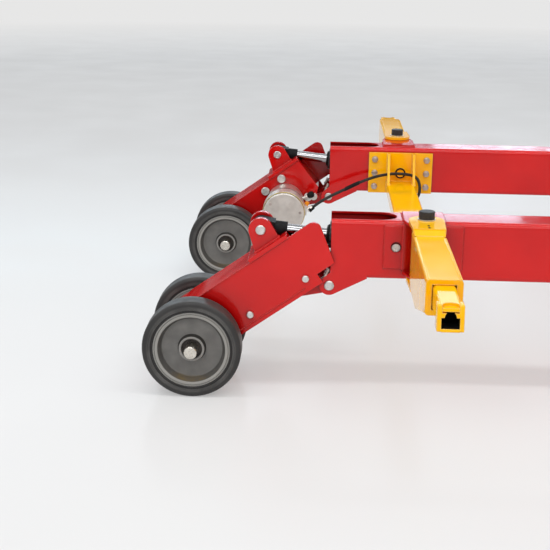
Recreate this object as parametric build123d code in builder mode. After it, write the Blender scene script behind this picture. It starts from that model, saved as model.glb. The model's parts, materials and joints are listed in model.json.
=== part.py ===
from build123d import *
import os
from math import asin, atan2, cos, degrees, hypot, radians, sin, tan

os.makedirs("parts", exist_ok=True)

# Helicopter tow cart. Millimetres, +X forward, +Y to the cart's left, +Z up.
# The origin is on the floor under the middle of the cart. "Out" is a distance from a beam's centre
# plane towards the outside of the cart, "reach" a distance forward of the rear axle.

# Fits and plate gaps
RUN_FIT = 0.05
SIDE_FIT = 0.6
SLIDE_FIT = 0.4
OPEN_PIVOT_FIT = 1.9

# Wheels and axle
TYRE_D = 254.0
TYRE_W = 62.0
TYRE_SHOULDER = 9.0
TYRE_BEAD = 2.0
RIM_D = 198.0
RIM_W = 58.0
RIM_LIP = 11.0
RIM_DRAFT = 8.0
WEB_T = 13.0
HUB_R = 33.0
HUB_WALL = 7.0
HUB_W = 40.0
HUB_CORE_W = 16.0
HUB_DRAFT = 3.0
WHEEL_SPACING = 225.0
AXLE_D = 30.0
AXLE_STICKOUT = 23.0
AXLE_CHAMFER = 2.0

# Beams
BEAM_H = 152.0
BEAM_W = 114.0
BEAM_WALL = 6.0
BEAM_CORNER = 12.0
BEAM_SPACING = 1087.0
BEAM_BOTTOM = 304.0
BEAM_REACH = 347.0
BEAM_LENGTH = 1800.0
END_PLATE_T = 8.0
SLOT_LENGTH = 167.0
SLOT_W = 88.0
DOUBLER_L = 196.0
DOUBLER_H = 109.0
DOUBLER_T = 5.0
DOUBLER_REACH = 482.0
DOUBLER_BOTTOM = 335.0

# Wheel arm hinge
HINGE_REACH = 345.0
HINGE_Z = 283.0
PIN_D = 25.4
LUG_R = 25.0
LUG_T = 12.0
LUG_TAPER = 94.0
LUG_ROOT_H = 14.0
KNUCKLE_R = 19.5
PIN_PROUD = 3.0

# Wheel arm, measured along the arm from the axle and square to it
ARM_ANGLE = 35.5
ARM_W = 136.0
ARM_WALL = 9.0
ARM_TOP = 91.0
ARM_BOTTOM = -55.0
ARM_TAIL = 65.0
ARM_TAIL_R = 50.0
ARM_HEAD = 357.0
ARM_HEAD_LEAN = 6.0
ARM_HEAD_CUT = (-25.0, -40.0)
ARM_FLOOR_END = 345.0
HORN_TIP = 447.0
HORN_FOOT = 418.0
HORN_R = 20.0
HORN_STEP = -29.0
HORN_STEP_START = 365.0
TONGUE_START = 283.0
TONGUE_T = 12.0
BEARING_R = 36.0
BEARING_PROUD = 5.0
ARM_BOLT_S = (162.0, 334.0)
ARM_BOLT_T = -22.0
BOLT_R = 6.0
BOLT_HEAD_R = 9.0
BOLT_HEAD_H = 7.0
BOLT_HEAD_ROUND = 2.0
BOLT_NUT_H = 9.0

# Clevis on the arm and the lift cylinder
CLEVIS_S = 306.7
CLEVIS_T = 142.4
EAR_R = 31.0
EAR_T = 14.0
EARS_W = 90.0
EAR_FOOT_START = 262.0
EAR_FOOT_END = 334.0
CLEVIS_BASE_START = 240.0
CLEVIS_BASE_T = 10.0
CLEVIS_BASE_W = 144.0
ROD_NOTCH_S = 312.0
ROD_NOTCH_T = 60.0
ROD_NOTCH_W = 56.0
BASE_PIN_REACH = 511.0
BASE_PIN_Z = 388.0
BASE_PIN_D = 22.0
BASE_PIN_SINK = 3.0
BARREL_R = 35.0
BARREL_BORE_R = 27.0
BARREL_START = 20.0
BARREL_LENGTH = 150.0
BARREL_FLOOR = 14.0
GLAND_L = 12.0
BARREL_EYE_R = 22.0
BARREL_EYE_W = 44.0
ROD_D = 30.0
PISTON_L = 25.0
PISTON_START = 105.0
ROD_END_R = 19.5
ROD_END_L = 43.0
ROD_END_SOCKET = 21.0
ROD_EYE_R = 24.0
ROD_EYE_W = 50.0
ROD_EYE_NECK = 11.0

# Drive motor, sprockets and chain
MOTOR_S = 242.0
MOTOR_T = -3.0
MOTOR_CASE_R = 62.0
MOTOR_CASE_L = 119.0
MOTOR_RING_R = 70.0
MOTOR_RING_L = 58.0
MOTOR_FACE_R = 67.0
MOTOR_FACE_L = 15.0
MOTOR_BOLT_SPOTS = ((-37.0, 68.0), (33.0, 73.0), (-72.0, -30.0), (72.0, -30.0))
MOTOR_BOLT_HEAD_R = 14.0
MOTOR_PILOT_R = 40.0
MOTOR_ROUND = 3.0
SHAFT_R = 12.0
SHAFT_DEPTH = 40.0
TERMINAL_L = 28.0
TERMINAL_W = 55.0
TERMINAL_H = 32.0
TERMINAL_SHIFT = 74.0
TERMINAL_OUT = -180.0
CABLE_GLAND_R = 8.5
CABLE_GLAND_L = 9.0
BRAKE_STEM_R = 4.0
BRAKE_KNOB_R = 9.0
BRAKE_ANGLE = 25.0
BRAKE_REACH = 96.0
BRAKE_OUT = -140.0
CHAIN_PITCH = 12.7
AXLE_TEETH = 18
MOTOR_TEETH = 12
SPROCKET_T = 7.0
SPROCKET_BOSS_R = 24.0
SPROCKET_BOSS_T = 24.0
TOOTH_H = 4.5
TOOTH_FLANK = 75.0
CHAIN_PLATE_T = 2.0
CHAIN_PLATE_H = 10.0
CHAIN_SIDE_GAP = 0.7
CHAIN_ROLLER_R = 3.9
CHAIN_ROLLERS = 8

# Side arms on vertical pins
SIDE_PIN_REACH = 580.5
SIDE_PIN_OUT = 103.0
SIDE_EAR_R = 42.0
SIDE_EAR_T = 7.0
SIDE_EAR_INSIDE = 30.0
BRACKET_L = 104.0
BRACKET_T = 14.0
LOWER_EAR_Z = 324.0
SLEEVE_W = 79.0
SLEEVE_CORNER = 9.0
SLEEVE_LIFT = 3.5
SLEEVE_ROOT = 60.0
SLEEVE_END = 490.0
SLEEVE_ROOT_T = 10.0
SLEEVE_LUG_R = 44.0
SLEEVE_LUG_T = 9.5
SLEEVE_LUG_END = 97.0
KEEL_WALL = 8.0
KEEL_BOTTOM = 322.0
KEEL_STRAIGHT_END = 255.0
KEEL_END = 470.0
KEEL_LAP = 4.0
KEEL_TOE = 32.0
BAR_W = 49.0
BAR_H = 54.0
BAR_WALL = 6.0
BAR_CORNER = 8.0
BAR_SIDE_FIT = 2.0
BAR_ROOF_FIT = 1.8
BAR_ROOT = 175.0
BAR_END = 627.0
BAR_BLOCK_L = 36.0
BAR_BLOCK_DROP = 26.0
BAR_LIP = 10.0
SADDLE_R = 17.0
SADDLE_DEPTH = 17.0
SOCKET_BUMP_R = 12.0
WASHER_R = 22.0
WASHER_T = 2.5
CAP_R = 20.0
CAP_H = 19.5
CAP_SIDES = 12
CAP_ROUND = 2.0
COLLAR_R = 18.0
COLLAR_T = 6.0

# Cross tube and its bolted end plates
CROSS_REACH = 586.0
CROSS_W = 92.0
CROSS_H = 40.0
CROSS_WALL = 5.0
CROSS_CORNER = 6.0
CROSS_LIFT = 1.0
PLATE_L = 214.0
PLATE_H = 137.0
PLATE_T = 10.0
PLATE_BOLT_EDGE = 20.0
PLATE_BOLT_MARGIN = 22.5
PLATE_BOLT_R = 6.5
HEX_R = 11.0
HEX_H = 8.0
GROMMET_R = 17.0
GROMMET_HOLE_R = 12.0
GROMMET_PROUD = 4.0
GUSSET_T = 8.0
GUSSET_FOOT = 75.0
GUSSET_TOP = 30.0
GUSSET_HOLE_R = 11.0
ENTRY_L = 36.0
ENTRY_W = 44.0
ENTRY_H = 24.0
ENTRY_GLAND_R = 9.0
ENTRY_GLAND_L = 6.0
CABLE_R = 5.0
CABLE_GAP = 0.3
# The cable's hand-chosen points: reach, distance inboard of the beam's centre plane, height
CABLE_POINTS = (
    (291.5, 180.0, 270.6), (322.0, 175.0, 285.0), (358.0, 167.0, 302.0), (400.0, 154.0, 326.0),
    (441.0, 140.0, 349.0), (493.0, 121.0, 367.0), (543.0, 103.0, 375.5), (584.0, 98.0, 377.0),
    (628.0, 103.0, 373.0), (644.0, 111.0, 361.0), (650.0, 119.0, 341.0), (650.0, 124.0, 321.0),
    (645.0, 126.0, 305.0), (634.0, 126.0, 293.0), (618.0, 126.0, 293.0),
)

REAR_PASS = CABLE_POINTS[6]
FRONT_PASS = CABLE_POINTS[8]
CABLE_BEND_SHARE = 0.45

# Front end: cross beam, casters, power case and tow bar
RAIL_W = 40.0
RAIL_SPACING = 400.0
CASE_L = 420.0
CASE_W = 560.0
CASE_H = 210.0
CASE_WALL = 3.0
CASE_CORNER = 20.0
LID_H = 30.0
LID_FIT = 0.4
LID_ROUND = 6.0
KIT_GAP = 25.0
BATTERY_GAP = 12.0
BATTERY_POST_R = 9.0
BATTERY_POST_H = 14.0
TANK_W = 140.0
TANK_L = 230.0
PUMP_R = 45.0
PUMP_L = 150.0
PUMP_HEADROOM = 10.0
LEVER_Y = -180.0
LEVER_LIFT = 60.0
LEVER_R = 6.0
LEVER_L = 110.0
LEVER_KNOB_R = 16.0
LEVER_HUB_R = 14.0
LEVER_HUB_W = 18.0
LEVER_EAR_T = 8.0
LEVER_STANDOFF = 60.0
LEVER_EAR_ROOT = 26.0
CASTER_SETBACK = 75.0
CASTER_PLATE = 108.0
CASTER_PLATE_T = 10.0
CASTER_BOSS_R = 34.0
CASTER_BOSS_H = 32.0
KINGPIN_R = 15.0
CASTER_D = 200.0
CASTER_W = 50.0
CASTER_TRAIL = 42.0
CASTER_HUB_R = 26.0
CASTER_HUB_W = 58.0
CASTER_DISH = 12.0
CASTER_AXLE_R = 10.0
FORK_T = 8.0
FORK_W = 60.0
FORK_GAP = 62.0
FORK_FOOT_R = 24.0
TOW_PIVOT_REACH = 45.0
TOW_PIVOT_Z = 380.0
TOW_LUG_R = 28.0
TOW_LUG_T = 12.0
TOW_LUG_GAP = 72.0
TOW_KNUCKLE_R = 24.0
TOW_BAR_W = 50.0
TOW_BAR_WALL = 5.0
TOW_BAR_L = 620.0
TOW_EYE_OD = 124.0
TOW_EYE_ID = 76.2
TOW_EYE_T = 32.0
TOW_EYE_ROUND = 8.0
TOW_PIN_HEAD_R = 18.0
TOW_PIN_HEAD_H = 6.0

# Places that follow from the sizes above
YC = BEAM_SPACING / 2
HALF_BEAM = BEAM_W / 2
AXLE_Z = TYRE_D / 2
BEAM_TOP = BEAM_BOTTOM + BEAM_H
BEAM_MID_Z = BEAM_BOTTOM + BEAM_H / 2
OVERALL = AXLE_Z + BEAM_REACH + BEAM_LENGTH + TOW_PIVOT_REACH + TOW_BAR_L + TOW_EYE_OD / 2
AXLE_X = AXLE_Z - OVERALL / 2
BEAM_REAR_X = AXLE_X + BEAM_REACH
BEAM_FRONT_X = BEAM_REAR_X + BEAM_LENGTH
HINGE_X = AXLE_X + HINGE_REACH
BASE_PIN_X = AXLE_X + BASE_PIN_REACH
SIDE_PIN_X = AXLE_X + SIDE_PIN_REACH
SIDE_PIN_Y = YC + SIDE_PIN_OUT
PIN_R = PIN_D / 2
PIN_HOLE_R = PIN_R + RUN_FIT
ARM_C = cos(radians(ARM_ANGLE))
ARM_S = sin(radians(ARM_ANGLE))
HALF_ARM = ARM_W / 2
SLEEVE_TOP = BEAM_TOP + SLEEVE_LIFT
SLEEVE_BOTTOM = SLEEVE_TOP - SLEEVE_W
BAR_MID_Z = SLEEVE_TOP - SLEEVE_W / 2
UPPER_LUG_Z = BEAM_TOP + SIDE_EAR_T + SLIDE_FIT
LOWER_LUG_Z = LOWER_EAR_Z - SLIDE_FIT - SLEEVE_LUG_T
CLEVIS_X = AXLE_X + CLEVIS_S * ARM_C - CLEVIS_T * ARM_S
CLEVIS_Z = AXLE_Z + CLEVIS_S * ARM_S + CLEVIS_T * ARM_C
CYLINDER_L = hypot(CLEVIS_X - BASE_PIN_X, CLEVIS_Z - BASE_PIN_Z)
CYL_DIR = ((CLEVIS_X - BASE_PIN_X) / CYLINDER_L, 0, (CLEVIS_Z - BASE_PIN_Z) / CYLINDER_L)
HINGE_S = HINGE_REACH * ARM_C + (HINGE_Z - AXLE_Z) * ARM_S
HINGE_T = (HINGE_Z - AXLE_Z) * ARM_C - HINGE_REACH * ARM_S
MOTOR_X = AXLE_X + MOTOR_S * ARM_C - MOTOR_T * ARM_S
MOTOR_Z = AXLE_Z + MOTOR_S * ARM_S + MOTOR_T * ARM_C
CROSS_X = AXLE_X + CROSS_REACH
CROSS_Z = BEAM_BOTTOM + CROSS_LIFT + CROSS_H / 2
PLATE_BOLT_X = PLATE_L - 2 * PLATE_BOLT_EDGE
PLATE_BOLT_Z = PLATE_H / 2 - PLATE_BOLT_MARGIN
PLATE_Y = YC - HALF_BEAM
CASE_X = BEAM_FRONT_X - CASE_L / 2
CASTER_X = BEAM_FRONT_X - CASTER_SETBACK
TOW_X = BEAM_FRONT_X + TOW_PIVOT_REACH
CASE_TOP = BEAM_TOP + CASE_H


def side(out):
    """Upright plane along the right beam, facing outboard; sketches read x and z."""
    return Plane.XZ.offset(YC + out)


def arm_plane(out):
    """Plane of the right wheel arm, from the axle along the arm, facing outboard."""
    return Plane((AXLE_X, -(YC + out), AXLE_Z), x_dir=(ARM_C, 0, ARM_S), z_dir=(0, -1, 0))


def cyl_plane(out):
    """Plane of the right lift cylinder, from its base pin towards the clevis."""
    return Plane((BASE_PIN_X, -(YC + out), BASE_PIN_Z), x_dir=CYL_DIR, z_dir=(0, -1, 0))


def disc(plane, centre, radius, depth, mode=Mode.ADD):
    """Round solid or hole that starts on a plane."""
    with BuildSketch(plane) as outline:
        with Locations(centre):
            Circle(radius)
    extrude(outline.sketch, amount=depth, mode=mode)


def slab(plane, low, high, depth, mode=Mode.ADD):
    """Rectangular solid or cut between two corners on a plane."""
    with BuildSketch(plane) as outline:
        with Locations(((low[0] + high[0]) / 2, (low[1] + high[1]) / 2)):
            Rectangle(high[0] - low[0], high[1] - low[1])
    extrude(outline.sketch, amount=depth, mode=mode)


def eye_plate(plane, centre, radius, low, high, depth):
    """Plate that runs from a rectangular root to a round eye."""
    with BuildSketch(plane) as outline:
        with Locations(centre):
            Circle(radius)
        with Locations(((low[0] + high[0]) / 2, (low[1] + high[1]) / 2)):
            Rectangle(high[0] - low[0], high[1] - low[1])
        make_hull()
    extrude(outline.sketch, amount=depth)


def wheel_axis():
    return Axis((AXLE_X, 0, AXLE_Z), (0, 1, 0))


# Right beam: box tube with its lift slot, hinge lugs, doubler, side-arm bracket and caster boss
with BuildPart() as beam:
    with BuildSketch(Plane.YZ.offset(BEAM_REAR_X)):
        with Locations((-YC, BEAM_MID_Z)):
            RectangleRounded(BEAM_W, BEAM_H, BEAM_CORNER)
            RectangleRounded(
                BEAM_W - 2 * BEAM_WALL, BEAM_H - 2 * BEAM_WALL, BEAM_CORNER - BEAM_WALL, mode=Mode.SUBTRACT
            )
    extrude(amount=BEAM_LENGTH)
    with BuildSketch(Plane.YZ.offset(BEAM_FRONT_X)):
        with Locations((-YC, BEAM_MID_Z)):
            RectangleRounded(BEAM_W, BEAM_H, BEAM_CORNER)
    extrude(amount=-END_PLATE_T)
    # The slot in the top wall lets the cylinder rise when the arm folds up
    with BuildSketch(Plane.XY.offset(BEAM_TOP)):
        with Locations((BEAM_REAR_X, -YC)):
            SlotOverall(2 * SLOT_LENGTH, SLOT_W)
    extrude(amount=-2 * BEAM_WALL, mode=Mode.SUBTRACT)
    for face in (HALF_BEAM, LUG_T - HALF_BEAM):
        eye_plate(
            side(face), (HINGE_X, HINGE_Z), LUG_R,
            (BEAM_REAR_X, BEAM_BOTTOM), (BEAM_REAR_X + LUG_TAPER, BEAM_BOTTOM + LUG_ROOT_H), -LUG_T,
        )
    doubler_x = AXLE_X + DOUBLER_REACH
    slab(
        side(HALF_BEAM), (doubler_x, DOUBLER_BOTTOM),
        (doubler_x + DOUBLER_L, DOUBLER_BOTTOM + DOUBLER_H), DOUBLER_T,
    )
    # Bracket: back plate, upper ear over the beam's top, lower ear on the back plate
    bracket_x = (SIDE_PIN_X - BRACKET_L / 2, SIDE_PIN_X + BRACKET_L / 2)
    slab(side(HALF_BEAM), (bracket_x[0], LOWER_EAR_Z), (bracket_x[1], BEAM_TOP), BRACKET_T)
    eye_plate(
        Plane.XY.offset(BEAM_TOP), (SIDE_PIN_X, -SIDE_PIN_Y), SIDE_EAR_R,
        (bracket_x[0], -YC - HALF_BEAM - BRACKET_T), (bracket_x[1], -YC + SIDE_EAR_INSIDE), SIDE_EAR_T,
    )
    eye_plate(
        Plane.XY.offset(LOWER_EAR_Z), (SIDE_PIN_X, -SIDE_PIN_Y), SIDE_EAR_R,
        (bracket_x[0], -YC - HALF_BEAM - BRACKET_T), (bracket_x[1], -YC - HALF_BEAM), SIDE_EAR_T,
    )
    disc(Plane.XY.offset(BEAM_BOTTOM), (SIDE_PIN_X, -SIDE_PIN_Y), PIN_HOLE_R, BEAM_H * 2, Mode.SUBTRACT)
    disc(side(BEAM_W), (HINGE_X, HINGE_Z), PIN_HOLE_R, -2 * BEAM_W, Mode.SUBTRACT)
    disc(side(BEAM_W), (BASE_PIN_X, BASE_PIN_Z), BASE_PIN_D / 2 + RUN_FIT, -2 * BEAM_W, Mode.SUBTRACT)
    # Caster plate and boss under the front end
    with BuildSketch(Plane.XY.offset(BEAM_BOTTOM)):
        with Locations((CASTER_X, -YC)):
            RectangleRounded(CASTER_PLATE, CASTER_PLATE, BEAM_CORNER)
    extrude(amount=-CASTER_PLATE_T)
    disc(Plane.XY.offset(BEAM_BOTTOM), (CASTER_X, -YC), CASTER_BOSS_R, -CASTER_BOSS_H)
    disc(
        Plane.XY.offset(BEAM_BOTTOM - CASTER_BOSS_H), (CASTER_X, -YC), KINGPIN_R + RUN_FIT,
        CASTER_BOSS_H, Mode.SUBTRACT,
    )

# Right wheel arm: hollow box, horned outer cheek, hinge tongue and clevis
with BuildPart() as wheel_arm:
    with BuildSketch(arm_plane(-HALF_ARM)) as arm_outline:
        with BuildLine():
            Polyline(
                (-ARM_TAIL, ARM_BOTTOM), (-ARM_TAIL, ARM_TOP), (ARM_HEAD, ARM_TOP),
                (ARM_HEAD + ARM_HEAD_LEAN, ARM_HEAD_CUT[0]), (ARM_FLOOR_END, ARM_HEAD_CUT[1]),
                (ARM_FLOOR_END, ARM_BOTTOM), close=True,
            )
        make_face()
        fillet(arm_outline.vertices().group_by(Axis.X)[0], ARM_TAIL_R)
    extrude(amount=ARM_W)
    with BuildSketch(arm_plane(HALF_ARM)) as horn_outline:
        with BuildLine():
            Polyline(
                (ARM_FLOOR_END, ARM_TOP), (HORN_TIP, ARM_TOP), (HORN_FOOT, HORN_STEP),
                (HORN_STEP_START, HORN_STEP), (HORN_STEP_START, ARM_BOTTOM),
                (ARM_FLOOR_END, ARM_BOTTOM), close=True,
            )
        make_face()
        fillet(horn_outline.vertices().sort_by(Axis.X)[-1], HORN_R)
    extrude(amount=-ARM_WALL)
    for out in (HALF_ARM, -HALF_ARM - BEARING_PROUD):
        disc(arm_plane(out), (0, 0), BEARING_R, BEARING_PROUD)
    # Tongue: two webs and the knuckle that turns between the beam's lugs
    knuckle_half = HALF_BEAM - LUG_T - SIDE_FIT
    for out in (knuckle_half, TONGUE_T - knuckle_half):
        eye_plate(
            arm_plane(out), (HINGE_S, HINGE_T), KNUCKLE_R,
            (TONGUE_START, ARM_BOTTOM), (ARM_FLOOR_END, ARM_BOTTOM + ARM_WALL), -TONGUE_T,
        )
    disc(arm_plane(knuckle_half), (HINGE_S, HINGE_T), KNUCKLE_R, -2 * knuckle_half)
    # Clevis
    slab(
        arm_plane(-CLEVIS_BASE_W / 2), (CLEVIS_BASE_START, ARM_TOP),
        (ARM_HEAD, ARM_TOP + CLEVIS_BASE_T), CLEVIS_BASE_W,
    )
    for out in (EARS_W / 2, EAR_T - EARS_W / 2):
        eye_plate(
            arm_plane(out), (CLEVIS_S, CLEVIS_T), EAR_R,
            (EAR_FOOT_START, ARM_TOP), (EAR_FOOT_END, ARM_TOP + CLEVIS_BASE_T), -EAR_T,
        )
    # Chain space inside the box
    with BuildSketch(arm_plane(ARM_WALL - HALF_ARM)):
        add(arm_outline.sketch_local)
        offset(amount=-ARM_WALL, mode=Mode.REPLACE)
    extrude(amount=ARM_W - 2 * ARM_WALL, mode=Mode.SUBTRACT)
    # Notch in the top that the piston rod dips into
    slab(
        arm_plane(-ROD_NOTCH_W / 2), (ROD_NOTCH_S, ROD_NOTCH_T),
        (ARM_HEAD + 2 * ARM_WALL, ARM_TOP + CLEVIS_BASE_T), ROD_NOTCH_W, Mode.SUBTRACT,
    )
    disc(arm_plane(ARM_W), (0, 0), AXLE_D / 2 + RUN_FIT, -2 * ARM_W, Mode.SUBTRACT)
    disc(arm_plane(ARM_W), (HINGE_S, HINGE_T), PIN_HOLE_R, -2 * ARM_W, Mode.SUBTRACT)
    disc(arm_plane(ARM_W), (CLEVIS_S, CLEVIS_T), PIN_HOLE_R, -2 * ARM_W, Mode.SUBTRACT)
    disc(arm_plane(-HALF_ARM), (MOTOR_S, MOTOR_T), MOTOR_PILOT_R + RUN_FIT, ARM_WALL, Mode.SUBTRACT)
    for spot in MOTOR_BOLT_SPOTS:
        centre = (MOTOR_S + spot[0], MOTOR_T + spot[1])
        disc(arm_plane(-HALF_ARM), centre, BOLT_R + RUN_FIT, ARM_WALL, Mode.SUBTRACT)
    for bolt_s in ARM_BOLT_S:
        disc(arm_plane(HALF_ARM), (bolt_s, ARM_BOLT_T), BOLT_R + RUN_FIT, -ARM_WALL, Mode.SUBTRACT)

with BuildPart() as hinge_pin:
    disc(side(HALF_BEAM + PIN_PROUD), (HINGE_X, HINGE_Z), PIN_R, -BEAM_W - 2 * PIN_PROUD)
    chamfer(hinge_pin.edges().filter_by(GeomType.CIRCLE), PIN_PROUD / 2)

with BuildPart() as clevis_pin:
    disc(arm_plane(EARS_W / 2 + PIN_PROUD), (CLEVIS_S, CLEVIS_T), PIN_R, -EARS_W - 2 * PIN_PROUD)
    chamfer(clevis_pin.edges().filter_by(GeomType.CIRCLE), PIN_PROUD / 2)

with BuildPart() as base_pin:
    base_pin_face = HALF_BEAM + DOUBLER_T - BASE_PIN_SINK
    disc(side(base_pin_face), (BASE_PIN_X, BASE_PIN_Z), BASE_PIN_D / 2, -base_pin_face - HALF_BEAM)

# Arm bolts: two chain-guide bolts through the outer cheek and four around the motor
with BuildPart() as arm_bolts:
    for bolt_s in ARM_BOLT_S:
        disc(arm_plane(HALF_ARM), (bolt_s, ARM_BOLT_T), BOLT_HEAD_R, BOLT_HEAD_H)
        disc(arm_plane(HALF_ARM), (bolt_s, ARM_BOLT_T), BOLT_R, -ARM_WALL)
        with BuildSketch(arm_plane(HALF_ARM - ARM_WALL)):
            with Locations((bolt_s, ARM_BOLT_T)):
                RegularPolygon(BOLT_HEAD_R, 6)
        extrude(amount=-BOLT_NUT_H)
    for spot in MOTOR_BOLT_SPOTS:
        centre = (MOTOR_S + spot[0], MOTOR_T + spot[1])
        disc(arm_plane(-HALF_ARM), centre, MOTOR_BOLT_HEAD_R, -BOLT_HEAD_H)
        disc(arm_plane(-HALF_ARM), centre, BOLT_R, ARM_WALL + BOLT_NUT_H)
    head_rims = arm_bolts.edges().filter_by(GeomType.CIRCLE).group_by(Axis.Y)
    fillet(head_rims[0] + head_rims[-1], BOLT_HEAD_ROUND)

with BuildPart() as axle:
    axle_half = WHEEL_SPACING / 2 + TYRE_W / 2 + AXLE_STICKOUT
    disc(arm_plane(axle_half), (0, 0), AXLE_D / 2, -2 * axle_half)
    chamfer(axle.edges().filter_by(GeomType.CIRCLE), AXLE_CHAMFER)


def wheel_plane(out):
    """Plane through the axle at a wheel's middle: radius along x, width along y."""
    return Plane((AXLE_X, -(YC + out), AXLE_Z))


def cast_rim(out):
    """Cast wheel centre: lip, drafted dish, web and hub with a sunk core, alike on both faces."""
    lip_r = RIM_D / 2 - RIM_LIP
    half = [
        (AXLE_D / 2 + RUN_FIT, HUB_CORE_W / 2), (HUB_R - HUB_WALL, HUB_CORE_W / 2),
        (HUB_R - HUB_WALL, HUB_W / 2), (HUB_R, HUB_W / 2), (HUB_R + HUB_DRAFT, WEB_T / 2),
        (lip_r - RIM_DRAFT, WEB_T / 2), (lip_r, RIM_W / 2), (RIM_D / 2, RIM_W / 2),
    ]
    other_half = [(radius, -width) for radius, width in reversed(half)]
    with BuildPart() as rim:
        with BuildSketch(wheel_plane(out)):
            with BuildLine():
                Polyline(*half, *other_half, close=True)
            make_face()
        revolve(axis=wheel_axis())
    return rim


def solid_tyre(out):
    """Solid rubber tyre with rounded shoulders, bonded to the rim."""
    with BuildPart() as tyre:
        with BuildSketch(wheel_plane(out)) as section:
            with Locations(((RIM_D + TYRE_D) / 4, 0)):
                Rectangle((TYRE_D - RIM_D) / 2, TYRE_W)
            fillet(section.vertices().group_by(Axis.X)[-1], TYRE_SHOULDER)
            chamfer(section.vertices().group_by(Axis.X)[0], TYRE_BEAD)
        revolve(axis=wheel_axis())
    return tyre


outer_rim = cast_rim(WHEEL_SPACING / 2)
inner_rim = cast_rim(-WHEEL_SPACING / 2)
outer_tyre = solid_tyre(WHEEL_SPACING / 2)
inner_tyre = solid_tyre(-WHEEL_SPACING / 2)


def pitch_radius(teeth):
    return CHAIN_PITCH / (2 * sin(radians(180 / teeth)))


def sprocket_body(centre, teeth):
    """Toothed disc with its boss on the arm's middle plane."""
    root_r = pitch_radius(teeth) - TOOTH_H
    disc(arm_plane(-SPROCKET_T / 2), centre, root_r, SPROCKET_T)
    with BuildSketch(arm_plane(-SPROCKET_T / 2)) as toothing:
        with Locations(centre):
            with PolarLocations(root_r, teeth):
                Trapezoid(CHAIN_PITCH / 2, 2 * TOOTH_H, TOOTH_FLANK, rotation=-90)
    extrude(toothing.sketch, amount=SPROCKET_T)


with BuildPart() as axle_sprocket:
    sprocket_body((0, 0), AXLE_TEETH)
    disc(arm_plane(SPROCKET_BOSS_T - SPROCKET_T / 2), (0, 0), SPROCKET_BOSS_R, -SPROCKET_BOSS_T)
    disc(arm_plane(ARM_W), (0, 0), AXLE_D / 2 + RUN_FIT, -2 * ARM_W, Mode.SUBTRACT)

with BuildPart() as motor_sprocket:
    motor_centre = (MOTOR_S, MOTOR_T)
    sprocket_body(motor_centre, MOTOR_TEETH)
    disc(arm_plane(SPROCKET_T), motor_centre, SHAFT_R, -SPROCKET_T - HALF_ARM - SHAFT_DEPTH)


def chain_loop(out, depth, spread, mode=Mode.ADD):
    """Loop round both sprockets, wider or narrower than the pitch line by spread."""
    with BuildSketch(arm_plane(out)) as loop:
        with Locations((0, 0)):
            Circle(pitch_radius(AXLE_TEETH) + spread)
        with Locations((MOTOR_S, MOTOR_T)):
            Circle(pitch_radius(MOTOR_TEETH) + spread)
        make_hull()
    extrude(loop.sketch, amount=depth, mode=mode)


# Drive chain: two rows of side plates tied by the rollers of its straight runs
with BuildPart() as drive_chain:
    inner_face = SPROCKET_T / 2 + CHAIN_SIDE_GAP
    outer_face = inner_face + CHAIN_PLATE_T
    for out in (inner_face, -outer_face):
        chain_loop(out, CHAIN_PLATE_T, CHAIN_PLATE_H / 2)
        chain_loop(out, CHAIN_PLATE_T, -CHAIN_PLATE_H / 2, Mode.SUBTRACT)
    run = hypot(MOTOR_S, MOTOR_T)
    lean = degrees(asin((pitch_radius(AXLE_TEETH) - pitch_radius(MOTOR_TEETH)) / run))
    heading = degrees(atan2(MOTOR_T, MOTOR_S))
    for turn in (1, -1):
        square = radians(heading + turn * (90 - lean))
        start = (pitch_radius(AXLE_TEETH) * cos(square), pitch_radius(AXLE_TEETH) * sin(square))
        end_r = pitch_radius(MOTOR_TEETH)
        end = (MOTOR_S + end_r * cos(square), MOTOR_T + end_r * sin(square))
        middle = ((start[0] + end[0]) / 2, (start[1] + end[1]) / 2)
        span = hypot(end[0] - start[0], end[1] - start[1])
        ahead = ((end[0] - start[0]) / span, (end[1] - start[1]) / span)
        for roller in range(CHAIN_ROLLERS):
            along = (roller - (CHAIN_ROLLERS - 1) / 2) * CHAIN_PITCH
            centre = (middle[0] + ahead[0] * along, middle[1] + ahead[1] * along)
            disc(arm_plane(-outer_face), centre, CHAIN_ROLLER_R, 2 * outer_face)

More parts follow.
